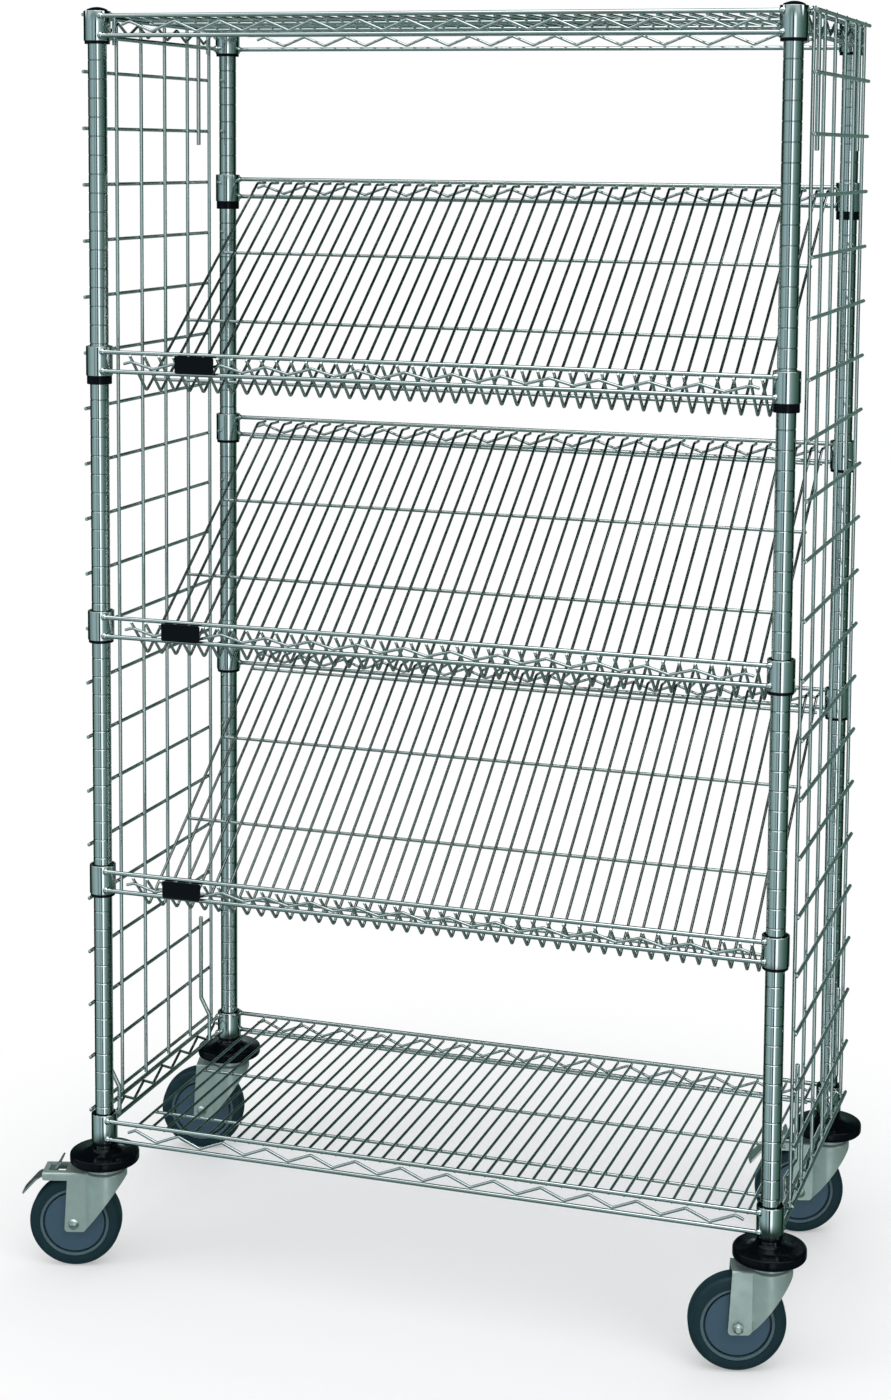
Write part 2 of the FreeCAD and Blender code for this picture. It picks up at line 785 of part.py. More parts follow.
def fork_shape(braked):
    """A pressed fork: legs, crown and gussets, and on a braked one the pedal's housing."""
    crown_line = fork_top + overrun
    shell = fork_blank(0.0, fork_top)
    top_edges = [edge for edge in shell.Edges
                 if edge.BoundBox.ZMin > fork_top - contact_gap
                 and edge.BoundBox.XMin < brake_housing_back]
    shell = shell.makeFillet(fork_fold_radius, top_edges)
    shell = shell.cut(fork_blank(fork_sheet, fork_crown_underside))
    profile = side_profile([
        (leg_front_low, leg_bottom), (leg_back_low, leg_bottom), (fork_crown_back, crown_line),
        (-fork_crown_radius - overrun, crown_line), (-fork_crown_radius - overrun, gusset_top),
        (-fork_crown_radius, gusset_top)], fork_leg_corner_radius)
    if braked:
        housing = side_profile([
            (fork_crown_back - brake_housing_radius, fork_top - brake_housing_depth),
            (brake_housing_back, fork_top - brake_housing_depth),
            (brake_housing_back, crown_line),
            (fork_crown_back - brake_housing_radius, crown_line)], brake_housing_radius / 2)
        profile = profile.fuse(housing)
    fork = shell.common(profile)
    king_hole = Part.makeCylinder(king_pin_diameter / 2 + running_clearance, 2 * overrun,
                                  vec(0, 0, fork_top - overrun), UP)
    width = fork_crown_radius + overrun
    axle_hole = Part.makeCylinder(axle_diameter / 2 + running_clearance, 2 * width,
                                  vec(trail, -width, axle_height), BACK)
    fork = fork.cut([king_hole, axle_hole])
    if braked:
        slot_back = brake_housing_back - brake_slot_back_margin
        half_slot = brake_slot_width / 2
        slot = box(vec(slot_back - brake_slot_length, -half_slot, fork_crown_underside - overrun),
                   vec(slot_back, half_slot, fork_top + overrun))
        pin_hole = Part.makeCylinder(brake_pin_diameter / 2 + running_clearance, 2 * width,
                                     vec(brake_pivot_back, -width, pivot_height), BACK)
        fork = fork.cut([slot, pin_hole])
    return fork.removeSplitter().Solids[0]


def axle_bolt(nut_in_front):
    """The axle bolt and its nut. The plain head is turned to the front unless the nut is."""
    seat = leg_face + axle_seat_gap
    bolt_end = seat + axle_nut_height + axle_end_length
    bolt = rod(vec(0, -seat, 0), vec(0, bolt_end, 0), axle_diameter / 2)
    head = axle_head_diameter / 2
    ball_radius = (head ** 2 + axle_head_height ** 2) / (2 * axle_head_height)
    ball = Part.makeSphere(ball_radius, vec(0, ball_radius - axle_head_height - seat, 0))
    dome = ball.common(box(vec(-overrun, -seat - overrun, -overrun),
                           vec(overrun, -seat, overrun)))
    bolt = bolt.fuse(dome).removeSplitter().Solids[0]
    corner_radius = axle_nut_size / math.sqrt(3)
    corners = [vec(corner_radius * math.cos(math.radians(60 * side)), seat,
                   corner_radius * math.sin(math.radians(60 * side))) for side in range(7)]
    nut = Part.Face(Part.makePolygon(corners)).extrude(BACK * axle_nut_height)
    bore = rod(vec(0, seat - overrun, 0), vec(0, seat + overrun, 0),
               axle_diameter / 2 + running_clearance)
    pieces = [bolt, nut.cut(bore).Solids[0]]
    for piece in pieces:
        if not nut_in_front:
            piece.rotate(ORIGIN, UP, 180.0)
        piece.translate(vec(trail, 0, axle_height))
    return pieces


def brake_pin():
    """The riveted pin that carries the pedal between the housing's sides."""
    seat = leg_face + axle_seat_gap
    head = brake_pin_head_diameter / 2
    pin = rod(vec(0, -seat, 0), vec(0, seat, 0), brake_pin_diameter / 2)
    heads = [rod(vec(0, seat, 0), vec(0, seat + brake_pin_head_height, 0), head),
             rod(vec(0, -seat - brake_pin_head_height, 0), vec(0, -seat, 0), head)]
    pin = pin.fuse(heads).removeSplitter().Solids[0]
    pin.translate(vec(brake_pivot_back, 0, pivot_height))
    return pin


def pedal_sheet_piece(points, half_width):
    """A bent strip of the pedal's sheet along points in the (trail, up) plane."""
    path = bent_path(points, pedal_bend_radius)
    across_sheet = (points[1] - points[0]).normalize().cross(BACK) * (pedal_sheet / 2)
    across_strip = BACK * half_width
    start = points[0]
    corners = [start + across_sheet + across_strip, start + across_sheet - across_strip,
               start - across_sheet - across_strip, start - across_sheet + across_strip]
    section = Part.makePolygon(corners + corners[:1])
    return path.makePipeShell([section], True, False)


def tongue_outline():
    """The tongue's plan as an upright solid: a narrow root, a flare and a rounded end."""
    root = pedal_stem_width / 2
    side = pedal_tongue_width / 2
    end = pedal_toe_reach + pedal_sheet
    flare_end = pedal_tongue_start + pedal_flare_length
    half = [(0, root), (pedal_tongue_start, root), (flare_end, side), (end, side)]
    plan = half + [(u, -v) for u, v in reversed(half)]
    corners = [vec(u, v, -overrun) for u, v in plan]
    solid = Part.Face(Part.makePolygon(corners + corners[:1])).extrude(UP * (2 * overrun))
    end_edges = [edge for edge in solid.Edges
                 if edge.BoundBox.ZLength > overrun and edge.BoundBox.XMin > flare_end + contact_gap]
    return solid.makeFillet(pedal_corner_radius, end_edges)


def pedal_shape():
    """A rocking pedal: a hub on the pin, an upper release tab, a curved tongue and a cam."""
    hub_end = brake_slot_width / 2 - pedal_side_clearance
    root = pedal_stem_width / 2
    hub = rod(-BACK * hub_end, BACK * hub_end, pedal_hub_diameter / 2)
    knee = vec(pedal_knee_reach, 0, -pedal_knee_drop)
    toe = vec(pedal_toe_reach, 0, -pedal_toe_drop)
    tongue = pedal_sheet_piece([ORIGIN, knee, toe], pedal_tab_width / 2).common(tongue_outline())
    tab_end = vec(-pedal_up_reach, 0, pedal_up_rise)
    tab_start = tab_end * (1 - pedal_tab_length / tab_end.Length)
    stalk = pedal_sheet_piece([ORIGIN, tab_end], root)
    tab = pedal_sheet_piece([tab_start, tab_end], pedal_tab_width / 2)
    towards_axle = math.atan2(axle_height - pivot_height, trail - brake_pivot_back)
    cam_angle = towards_axle + math.radians(pedal_cam_lead)
    cam_end = vec(math.cos(cam_angle), 0, math.sin(cam_angle)) * pedal_cam_reach
    cam = pedal_sheet_piece([ORIGIN, cam_end], root)
    pedal = hub.fuse([tongue, stalk, tab, cam])
    bore = rod(-BACK * overrun, BACK * overrun, brake_pin_diameter / 2 + running_clearance)
    pedal = pedal.cut(bore).removeSplitter().Solids[0]
    pedal.translate(vec(brake_pivot_back, 0, pivot_height))
    return pedal


def on_caster(shape, corner):
    """Turn a caster piece to the trail's heading and set it under its post."""
    placed = shape.copy()
    placed.rotate(ORIGIN, UP, trail_heading)
    return at_post(placed, corner)


def build_casters():
    bumper = bumper_shape()
    stem = stem_shape()
    race = race_shape()
    write("bumpers", [at_post(bumper, corner) for corner in POSTS])
    write("caster_stems", [at_post(stem, corner) for corner in POSTS])
    write("swivel_races", [at_post(race, corner) for corner in POSTS])
    tread = wheel_tread()
    hub = wheel_hub()
    for corner in POSTS:
        braked = corner in BRAKED
        fork_pieces = [fork_shape(braked)]
        if braked:
            fork_pieces.append(brake_pin())
            write(corner + "_brake_pedal", [on_caster(pedal_shape(), corner)])
        write(corner + "_fork", [on_caster(piece, corner) for piece in fork_pieces])
        bolts = axle_bolt(corner in NUT_TOWARDS_FRONT)
        write(corner + "_axle", [on_caster(piece, corner) for piece in bolts])
        write(corner + "_wheel_tread", [on_caster(tread, corner)])
        write(corner + "_wheel_hub", [on_caster(hub, corner)])


os.makedirs("parts", exist_ok=True)
build_posts()
build_collars()
for flat_level in FLAT:
    build_flat_shelf(flat_level)
for slanted_level in SLANTED:
    build_slanted_shelf(slanted_level)
write("label_holders", [label_holder(level) for level in SLANTED])
build_panel("left", -1)
build_panel("right", 1)
build_casters()
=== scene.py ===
import json
import math

import bmesh
import bpy
from mathutils import Matrix, Vector


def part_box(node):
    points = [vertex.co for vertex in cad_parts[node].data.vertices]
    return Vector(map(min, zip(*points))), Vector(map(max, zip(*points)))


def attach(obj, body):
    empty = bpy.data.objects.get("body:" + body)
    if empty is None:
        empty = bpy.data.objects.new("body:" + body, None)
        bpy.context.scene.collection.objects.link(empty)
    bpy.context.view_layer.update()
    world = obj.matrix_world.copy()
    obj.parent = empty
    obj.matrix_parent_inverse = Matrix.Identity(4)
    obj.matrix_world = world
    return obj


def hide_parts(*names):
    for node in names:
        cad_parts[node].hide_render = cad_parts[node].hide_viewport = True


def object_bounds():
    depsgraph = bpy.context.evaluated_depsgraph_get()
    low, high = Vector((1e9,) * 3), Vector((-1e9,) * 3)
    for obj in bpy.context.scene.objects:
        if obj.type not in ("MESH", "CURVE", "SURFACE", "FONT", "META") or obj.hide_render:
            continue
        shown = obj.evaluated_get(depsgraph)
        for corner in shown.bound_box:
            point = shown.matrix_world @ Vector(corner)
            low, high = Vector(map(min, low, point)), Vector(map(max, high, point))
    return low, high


bl_info = {
    "name": "Slanted Shelf Cart",
    "version": (1, 0, 0),
    "blender": (4, 5, 0),
    "location": "3D View > Sidebar > Shelf Cart",
    "description": "Dresses the packed slanted shelf cart with its plated wires, posts and casters",
    "category": "Add Mesh",
}

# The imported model, the fixed frame that every piece is built on
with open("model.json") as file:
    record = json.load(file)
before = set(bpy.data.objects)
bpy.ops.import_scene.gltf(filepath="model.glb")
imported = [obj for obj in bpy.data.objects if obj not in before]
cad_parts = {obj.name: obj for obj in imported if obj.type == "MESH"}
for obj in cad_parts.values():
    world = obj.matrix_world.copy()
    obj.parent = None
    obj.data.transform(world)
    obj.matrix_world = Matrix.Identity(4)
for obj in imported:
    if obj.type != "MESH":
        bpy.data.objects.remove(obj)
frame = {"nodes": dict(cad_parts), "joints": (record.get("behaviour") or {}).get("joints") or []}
CAD_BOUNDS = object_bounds()

CORNERS = ("front_left", "front_right", "rear_left", "rear_right")
BRAKED = ("front_left", "rear_right")
NUT_IN_FRONT = "front_right"
FLAT_LEVELS = ("bottom", "top")
SLANTED_LEVELS = ("lower", "middle", "upper")
LEVELS = FLAT_LEVELS + SLANTED_LEVELS
SIDES = {"left": -1, "right": 1}
CART = "cart"
JOINTS = {joint["name"]: joint for joint in frame["joints"]}

UP = Vector((0, 0, 1))
BACK = Vector((0, 1, 0))
RIGHT = Vector((1, 0, 0))
MERGE_DISTANCE = 0.000002
CREASE_ANGLE = math.radians(34)

# Zigzag waves along a shelf's front and along its side
WAVES_ACROSS = 13
WAVES_DEEP = 6

# Across a post groove: place as a share of its width, and share of its full depth
GROOVE_SECTION = ((-0.5, 0), (-0.28, 0.86), (0, 1), (0.28, 0.86), (0.5, 0))

# Distance of an axle bolt's seats and of its threaded end from the wheel's middle plane
AXLE_SEAT = 0.02105
AXLE_END = 0.03055

PHOTO_WIDTH, PHOTO_HEIGHT = 891, 1400


def length(name, description, default):
    return bpy.props.FloatProperty(name=name, description=description, default=default,
                                   min=0.0, unit="LENGTH", precision=5)


def share(name, description, default):
    return bpy.props.FloatProperty(name=name, description=description, default=default,
                                   min=0.0, max=1.0, subtype="FACTOR")


def angle(name, description, default):
    return bpy.props.FloatProperty(name=name, description=description, default=default,
                                   subtype="ANGLE")


def number(name, description, default):
    return bpy.props.FloatProperty(name=name, description=description, default=default, min=0.0)


def colour(name, description, default):
    return bpy.props.FloatVectorProperty(name=name, description=description, default=default,
                                         size=3, min=0.0, max=1.0, subtype="COLOR")


class CartSizes(bpy.types.PropertyGroup):
    post_diameter: length("Post Diameter", "Outside of the grooved posts", 0.0254)
    groove_pitch: length("Groove Pitch", "Distance between two post grooves", 0.0254)
    groove_width: length("Groove Width", "Width of a post groove", 0.002)
    groove_depth: length("Groove Depth", "Depth of a post groove", 0.0005)
    first_groove: length("First Groove", "Height of the lowest groove over the post's foot", 0.0087)
    cap_brim: length("Cap Brim", "Height of a post cap's straight rim", 0.0015)
    collar_lip: length("Collar Lip", "Rounding of a collar's ends", 0.0007)
    collar_wall: length("Collar Wall", "Wall of a shelf collar", 0.0018)
    sleeve_wall: length("Sleeve Wall", "Reach of a split sleeve's foot beyond the post", 0.0042)
    sleeve_drop: length("Sleeve Drop", "Height of the sleeve's foot below its collar", 0.004)
    upper_seat_rise: length("Upper Seat Rise",
                            "How much higher the upper slanted shelf sits on its sleeves", 0.0076)
    rim_wire: length("Rim Wire", "Diameter of the rim wires", 0.006)
    truss_wire: length("Truss Wire", "Diameter of the zigzag wires", 0.004)
    truss_bend: length("Truss Bend", "Bend radius of the zigzag wires", 0.005)
    deck_wire: length("Deck Wire", "Diameter of the deck wires", 0.004)
    flat_deck_lift: length("Flat Deck Lift", "How far a flat deck sits up against its rim", 0.0015)
    flat_deck_inset: length("Flat Deck Inset", "How far a flat deck's wires end short of their box",
                            0.006)
    cross_wire: length("Cross Wire", "Diameter of the wires under a deck", 0.0045)
    panel_wire: length("Panel Wire", "Diameter of the side panels' wires", 0.005)
    hook_wire: length("Hook Wire", "Diameter of the panel hooks", 0.006)
    weld_bead: length("Weld Bead", "Diameter of the bead where a rim wire meets a collar", 0.0098)
    lip_length: length("Lip Length", "Length of a slanted deck's upturned front", 0.072)
    lip_angle: angle("Lip Angle", "Slope of a slanted deck's upturned front", math.radians(45.5))


class CartFinishes(bpy.types.PropertyGroup):
    chrome: colour("Chrome", "Bright chromium plate on wires and posts", (0.56, 0.61, 0.60))
    chrome_dark: colour("Chrome Shade", "Duller patches in the plate", (0.34, 0.40, 0.38))
    zinc: colour("Zinc", "Pale zinc plate on the casters", (0.40, 0.50, 0.47))
    zinc_dark: colour("Zinc Shade", "Dull, greener patches in the zinc", (0.29, 0.38, 0.35))
    black: colour("Black Plastic", "Caps, sleeves, bumpers, label holders", (0.002, 0.003, 0.005))
    tread: colour("Tread", "Dark blue-green rubber of the wheels", (0.003, 0.024, 0.032))
    hub: colour("Hub", "Slate blue plastic of the wheel hubs", (0.038, 0.084, 0.125))
    rim_band: colour("Rim Band", "Paler rubber band round each hub", (0.070, 0.125, 0.145))
    bolt: colour("Bolts", "Bright plated axle bolts and nuts", (0.44, 0.51, 0.49))
    # Strength of the painted shade in the post grooves
    groove_painted_shade: share("Painted Groove Shade", "How strongly painted shade darkens the post grooves", 0.35)
    wear: share("Wear", "How strongly rubs, scuffs and dull patches show", 0.5)


class CartStage(bpy.types.PropertyGroup):
    camera_place: bpy.props.FloatVectorProperty(
        name="Camera Place", description="Where the camera stands", size=3, subtype="TRANSLATION",
        default=(1.04464, -3.17309, 1.56117))
    camera_yaw: angle("Camera Yaw", "Turn of the view towards the cart's left", 0.299471)
    camera_pitch: angle("Camera Pitch", "Tilt of the view below the horizon", 0.094334)
    camera_roll: angle("Camera Roll", "Roll of the view", -0.009771)
    focal_pixels: number("Focal Length", "Focal length in pixels of the photograph", 2424.34)
    centre_pixels: bpy.props.FloatVectorProperty(
        name="Optical Centre", description="Optical centre in pixels of the photograph", size=2,
        default=(523.78, 380.0))
    floor_colour: colour("Floor", "Pale studio floor", (0.95, 0.955, 0.955))
    floor_radius: length("Floor Radius", "Reach of the floor", 9.0)
    dome_radius: length("Dome Radius", "Reach of the dome that the plated metal mirrors", 8.0)
    key_power: number("Key Light", "Power of the large overhead light", 52.0)
    side_power: number("Side Lights", "Power of the two side lights", 26.0)


# Bmesh helpers

def to_mesh(bm, name):
    """Turn a bmesh into a mesh and free it."""
    mesh = bpy.data.meshes.new(name)
    bm.to_mesh(mesh)
    bm.free()
    return mesh


def new_object(name, bm):
    """Turn a bmesh into an object of the scene."""
    piece = bpy.data.objects.new(name, to_mesh(bm, name))
    bpy.context.scene.collection.objects.link(piece)
    return piece


def loose_parts(bm):
    """Sets of joined vertices."""
    waiting = set(bm.verts)
    while waiting:
        found = {waiting.pop()}
        edge_of_search = list(found)
        while edge_of_search:
            vertex = edge_of_search.pop()
            near = {edge.other_vert(vertex) for edge in vertex.link_edges} - found
            found |= near
            edge_of_search.extend(near)
        waiting -= found
        yield found


def merged_copy(node):
    """A copy of a CAD node's mesh with its loose triangles joined."""
    bm = bmesh.new()
    bm.from_mesh(frame["nodes"][node].data)
    bmesh.ops.remove_doubles(bm, verts=bm.verts[:], dist=MERGE_DISTANCE)
    return bm


def solid_boxes(node):
    """Lowest and highest corner of each separate solid in a CAD node."""
    bm = merged_copy(node)
    boxes = []
    for part in loose_parts(bm):
        places = [vertex.co for vertex in part]
        boxes.append((Vector(map(min, zip(*places))), Vector(map(max, zip(*places)))))
    bm.free()
    return sorted(boxes, key=lambda pair: (round(pair[0].z, 4), round(pair[0].y, 4), pair[0].x))


def centre_of(pair):
    return (pair[0] + pair[1]) / 2


def foot_of(pair):
    """The move from the origin to the middle of a box's underside."""
    middle = centre_of(pair)
    return Matrix.Translation((middle.x, middle.y, pair[0].z))


def runs_across(low, high):
    """Whether a box is longer across the cart than from front to back."""
    return high.x - low.x > high.y - low.y


def bent_path(points, bend_radius, steps=5):
    """Points along straight runs, with a tangent bend at each inner point."""
    path = [points[0]]
    for before, corner, after in zip(points, points[1:], points[2:]):
        into = (corner - before).normalized()
        out = (after - corner).normalized()
        turn = into.angle(out)
        setback = bend_radius * math.tan(turn / 2)
        axis = into.cross(out).normalized()
        centre = corner - into * setback + axis.cross(into) * bend_radius
        spoke = corner - into * setback - centre
        for step in range(steps + 1):
            path.append(centre + Matrix.Rotation(turn * step / steps, 3, axis) @ spoke)
    path.append(points[-1])
    return path


def half_circle(start, end, towards, steps):
    """Points of a half circle from start to end that bulges towards a direction."""
    centre = (start + end) / 2
    spoke = start - centre
    rise = towards.normalized() * spoke.length
    turns = [math.pi * step / steps for step in range(steps + 1)]
    return [centre + spoke * math.cos(turn) + rise * math.sin(turn) for turn in turns]


def rounded_ends(path, radius):
    """Stations of a wire along a path, with its cut ends rounded off."""
    into = (path[1] - path[0]).normalized()
    out = (path[-1] - path[-2]).normalized()
    chamfer = radius * 0.3
    rounding = [(reach, radius * size) for reach, size in ((0, 0.55), (0.35, 0.86), (1, 1))]
    return ([(path[0] + into * chamfer * reach, size) for reach, size in rounding]
            + [(point, radius) for point in path[1:-1]]
            + [(path[-1] - out * chamfer * reach, size) for reach, size in reversed(rounding)])


def beaded_ends(start, end, radius, bead, steps=8):
    """Stations of a straight wire that runs between the centres of two round beads."""
    along = (end - start).normalized()
    first_angle = 12
    last_angle = math.degrees(math.pi - math.asin(radius / bead))
    angles = [math.radians(first_angle + (last_angle - first_angle) * step / steps)
              for step in range(steps + 1)]
    half = [(-bead * math.cos(turn), bead * math.sin(turn)) for turn in angles]
    return ([(start + along * reach, size) for reach, size in half]
            + [(end - along * reach, size) for reach, size in reversed(half)])


def wire_mesh(path, radius, sides=12, bead=0.0):
    """A round wire along a path, its cut ends rounded off, or with a weld bead at each end."""
    if bead:
        stations = beaded_ends(*path, radius, bead)
    else:
        stations = rounded_ends(path, radius)
    bm = bmesh.new()
    direction = (stations[1][0] - stations[0][0]).normalized()
    turn = UP.rotation_difference(direction)
    placing = Matrix.LocRotScale(stations[0][0], turn, Vector((stations[0][1],) * 3))
    bmesh.ops.create_circle(bm, cap_ends=True, segments=sides, radius=1.0, matrix=placing)
    ring = bm.edges[:]
    for index, (point, size) in enumerate(stations[1:], start=1):
        after = stations[min(index + 1, len(stations) - 1)][0]
        before = stations[index - 1][0]
        heading = (after - before).normalized()
        turn = direction.rotation_difference(heading) @ turn
        direction = heading
        moved = Matrix.LocRotScale(point, turn, Vector((size,) * 3))
        grown = bmesh.ops.extrude_edge_only(bm, edges=ring)["geom"]
        fresh = [item for item in grown if isinstance(item, bmesh.types.BMVert)]
        ring = [item for item in grown if isinstance(item, bmesh.types.BMEdge)
                and all(vertex in fresh for vertex in item.verts)]
        bmesh.ops.transform(bm, matrix=moved @ placing.inverted(), verts=fresh)
        placing = moved
    bmesh.ops.edgeloop_fill(bm, edges=ring)
    bmesh.ops.recalc_face_normals(bm, faces=bm.faces[:])
    return to_mesh(bm, "wire")


def straight_wire(low, high, diameter, sides=12):
    """A straight wire along the longest side of its solid's box."""
    extent = high - low
    axis = max((RIGHT, BACK, UP), key=extent.dot)
    run = axis * extent.dot(axis)
    middle = centre_of((low, high))
    return wire_mesh([middle - run / 2, middle + run / 2], diameter / 2, sides)


def stamp(bm, mesh, place):
    """Add a copy of a mesh to a bmesh, moved by a matrix."""
    copy = mesh.copy()
    copy.transform(place)
    bm.from_mesh(copy)
    bpy.data.meshes.remove(copy)


def turned_mesh(profile, steps=48, closed=False, place=Matrix()):
    """A profile of (radius, height) points spun about the Z axis and moved by a matrix."""
    bm = bmesh.new()
    corners = [bm.verts.new((radius, 0, height)) for radius, height in profile]
    pairs = list(zip(corners, corners[1:]))
    if closed:
        pairs.append((corners[-1], corners[0]))
    edges = [bm.edges.new(pair) for pair in pairs]
    bmesh.ops.spin(bm, geom=corners + edges, cent=(0, 0, 0), axis=(0, 0, 1), angle=2 * math.pi,
                   steps=steps, use_merge=True)
    bmesh.ops.remove_doubles(bm, verts=bm.verts[:], dist=MERGE_DISTANCE)
    bmesh.ops.recalc_face_normals(bm, faces=bm.faces[:])
    mesh = to_mesh(bm, "turned")
    mesh.transform(place)
    return mesh


def round_corner(centre, radius, start, end, steps):
    """Profile points on an arc about a centre, from one angle to another in degrees."""
    points = []
    for step in range(steps + 1):
        turn = math.radians(start + (end - start) * step / steps)
        points.append((centre[0] + radius * math.cos(turn), centre[1] + radius * math.sin(turn)))
    return points


def dome_profile(foot, radius, rise, steps):
    """Profile points of a dome over a foot's height, from its rim in to the axis."""
    ball = (radius ** 2 + rise ** 2) / (2 * rise)
    sweep = math.degrees(math.asin(radius / ball))
    return round_corner((0, foot + rise - ball), ball, 90 - sweep, 90, steps)


def add_piece(name, bm, material, slot, stands_for=(), body=CART):
    """Make a bmesh into a shaded piece that rides on a body and stands for CAD nodes."""
    for face in bm.faces:
        face.smooth = True
    for edge in bm.edges:
        if len(edge.link_faces) == 2 and edge.calc_face_angle() > CREASE_ANGLE:
            edge.smooth = False
    piece = new_object(name, bm)
    piece.data.materials.append(material)
    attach(piece, body)
    if stands_for:
        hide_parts(*stands_for)


def add_each(name, node, make, look="Wire Chrome", slot="wire_chrome"):
    """A piece for a CAD node, with a mesh made from the box of each of its solids."""
    bm = bmesh.new()
    for low, high in solid_boxes(node):
        mesh = make(low, high)
        bm.from_mesh(mesh)
        bpy.data.meshes.remove(mesh)
    add_piece(name, bm, finish(look), slot, [node])


def add_smoothed(name, node, look, body=CART):
    """A piece with the CAD node's own shape, joined and shaded smooth."""
    add_piece(name, merged_copy(node), finish(look), "zinc_steel", [node], body)


# Shader helpers

def add_node(tree, kind, inputs=None, **settings):
    """A node with its settings, and with its inputs linked to sockets or set to values."""
    node = tree.nodes.new(kind)
    for key, value in settings.items():
        setattr(node, key, value)
    for key, value in (inputs or {}).items():
        if isinstance(value, bpy.types.NodeSocket):
            tree.links.new(value, node.inputs[key])
        else:
            node.inputs[key].default_value = value
    return node


def link_all(tree, sockets, values):
    """Link each value to the socket of its name."""
    for label, value in values.items():
        tree.links.new(value, sockets[label])


def object_place(tree):
    return add_node(tree, "ShaderNodeTexCoord").outputs["Object"]


def maths(tree, operation, *values):
    return add_node(tree, "ShaderNodeMath", dict(enumerate(values)),
                    operation=operation).outputs[0]


def noise(tree, place, scale, detail, roughness=0.5):
    return add_node(tree, "ShaderNodeTexNoise", {
        "Vector": place, "Scale": scale, "Detail": detail, "Roughness": roughness}).outputs["Fac"]


def mapped(tree, value, low, high, start=0.0, **settings):
    """A value between low and high, mapped to between start and 1."""
    return add_node(tree, "ShaderNodeMapRange", {
        "Value": value, "From Min": low, "From Max": high, "To Min": start},
        **settings).outputs[0]


def mixed(tree, amount, first, second):
    """Two colours, mixed by an amount of the second."""
    return add_node(tree, "ShaderNodeMix", {0: amount, 6: first, 7: second},
                    data_type="RGBA").outputs[2]


def mixed_shaders(tree, amount, first, second):
    return add_node(tree, "ShaderNodeMixShader", {
        0: amount, 1: first.outputs[0], 2: second.outputs[0]}).outputs[0]


def new_group(name, inputs, outputs):
    """An empty shader node group with an input for each default and an output for each kind."""
    group = bpy.data.node_groups.new(name, "ShaderNodeTree")
    for label, default in inputs.items():
        kind = "NodeSocketColor" if isinstance(default, tuple) else "NodeSocketFloat"
        socket = group.interface.new_socket(name=label, in_out="INPUT", socket_type=kind)
        socket.default_value = default
    for label, kind in outputs.items():
        group.interface.new_socket(name=label, in_out="OUTPUT", socket_type=kind)
    start = group.nodes.new("NodeGroupInput")
    end = group.nodes.new("NodeGroupOutput")
    return group, start.outputs, end.inputs


EFFECTS = {"Color": "NodeSocketColor", "Roughness": "NodeSocketFloat", "Height": "NodeSocketFloat"}


def plating_group(name):
    """Patchy plated metal: cloudy tone, small dull spots and fine drawing marks."""
    group, given, result = new_group(
        name, {"Bright": (0.7, 0.7, 0.7, 1), "Dull": (0.4, 0.4, 0.4, 1), "Cloud Scale": 12.0,
               "Spot Scale": 260.0, "Roughness": 0.15, "Wear": 0.5}, EFFECTS)
    place = object_place(group)
    clouds = mapped(group, noise(group, place, given["Cloud Scale"], 5.0, 0.62), 0.38, 0.72)
    spots = mapped(group, noise(group, place, given["Spot Scale"], 3.0, 0.7), 0.52, 0.78)
    worn = maths(group, "MULTIPLY", maths(group, "MAXIMUM", clouds, spots), given["Wear"])
    link_all(group, result, {
        "Color": mixed(group, worn, given["Bright"], given["Dull"]),
        "Roughness": maths(group, "MULTIPLY_ADD", worn, 0.28, given["Roughness"]),
        "Height": noise(group, place, 900.0, 2.0, 0.6)})
    return group


def moulding_group(name):
    """Moulded plastic or rubber: fine grain and paler scuffs."""
    group, given, result = new_group(
        name, {"Color": (0.1, 0.1, 0.1, 1), "Scuff": (0.3, 0.3, 0.3, 1), "Grain Scale": 900.0,
               "Scuff Scale": 35.0, "Roughness": 0.4, "Wear": 0.5}, EFFECTS)
    place = object_place(group)
    grain = add_node(group, "ShaderNodeTexVoronoi", {
        "Vector": place, "Scale": given["Grain Scale"]})
    patches = mapped(group, noise(group, place, given["Scuff Scale"], 8.0, 0.68), 0.5, 0.8)
    worn = maths(group, "MULTIPLY", patches, given["Wear"])
    link_all(group, result, {
        "Color": mixed(group, worn, given["Color"], given["Scuff"]),
        "Roughness": maths(group, "MULTIPLY_ADD", worn, 0.3, given["Roughness"]),
        "Height": grain.outputs["Distance"]})
    return group


def groove_shade_group(name):
    """Painted shade in evenly spaced rings along the Z axis, where the post grooves are."""
    group, given, result = new_group(
        name, {"Color": (0.5, 0.5, 0.5, 1), "First": 0.0, "Pitch": 0.0254, "Width": 0.002,
               "Painted Shade": 0.5}, {"Color": "NodeSocketColor"})
    height = add_node(group, "ShaderNodeSeparateXYZ", {0: object_place(group)}).outputs["Z"]
    half_pitch = maths(group, "MULTIPLY", given["Pitch"], 0.5)
    half_width = maths(group, "MULTIPLY", given["Width"], 0.5)
    away = maths(group, "PINGPONG", maths(group, "SUBTRACT", height, given["First"]), half_pitch)
    inside = maths(group, "LESS_THAN", away, half_width)
    painted_shade = maths(group, "MULTIPLY", inside, given["Painted Shade"])
    # Painted shade: inside each groove the plate is mixed towards near black
    link_all(group, result, {"Color": mixed(group, painted_shade, given["Color"], (0.01, 0.02, 0.015, 1))})
    return group


GROUP_MAKERS = {"Cart Plating": plating_group, "Cart Moulding": moulding_group,
                "Cart Grooves": groove_shade_group}


def add_group(tree, name, inputs):
    """A group's node; the group is made when it is first asked for."""
    group = bpy.data.node_groups.get(name) or GROUP_MAKERS[name](name)
    return add_node(tree, "ShaderNodeGroup", inputs, node_tree=group)


def new_material(name):
    """A material with its node tree, and the tree's Principled shader and output."""
    material = bpy.data.materials.new(name)
    material.use_nodes = True
    nodes = material.node_tree.nodes
    return material, material.node_tree, nodes["Principled BSDF"], nodes["Material Output"]


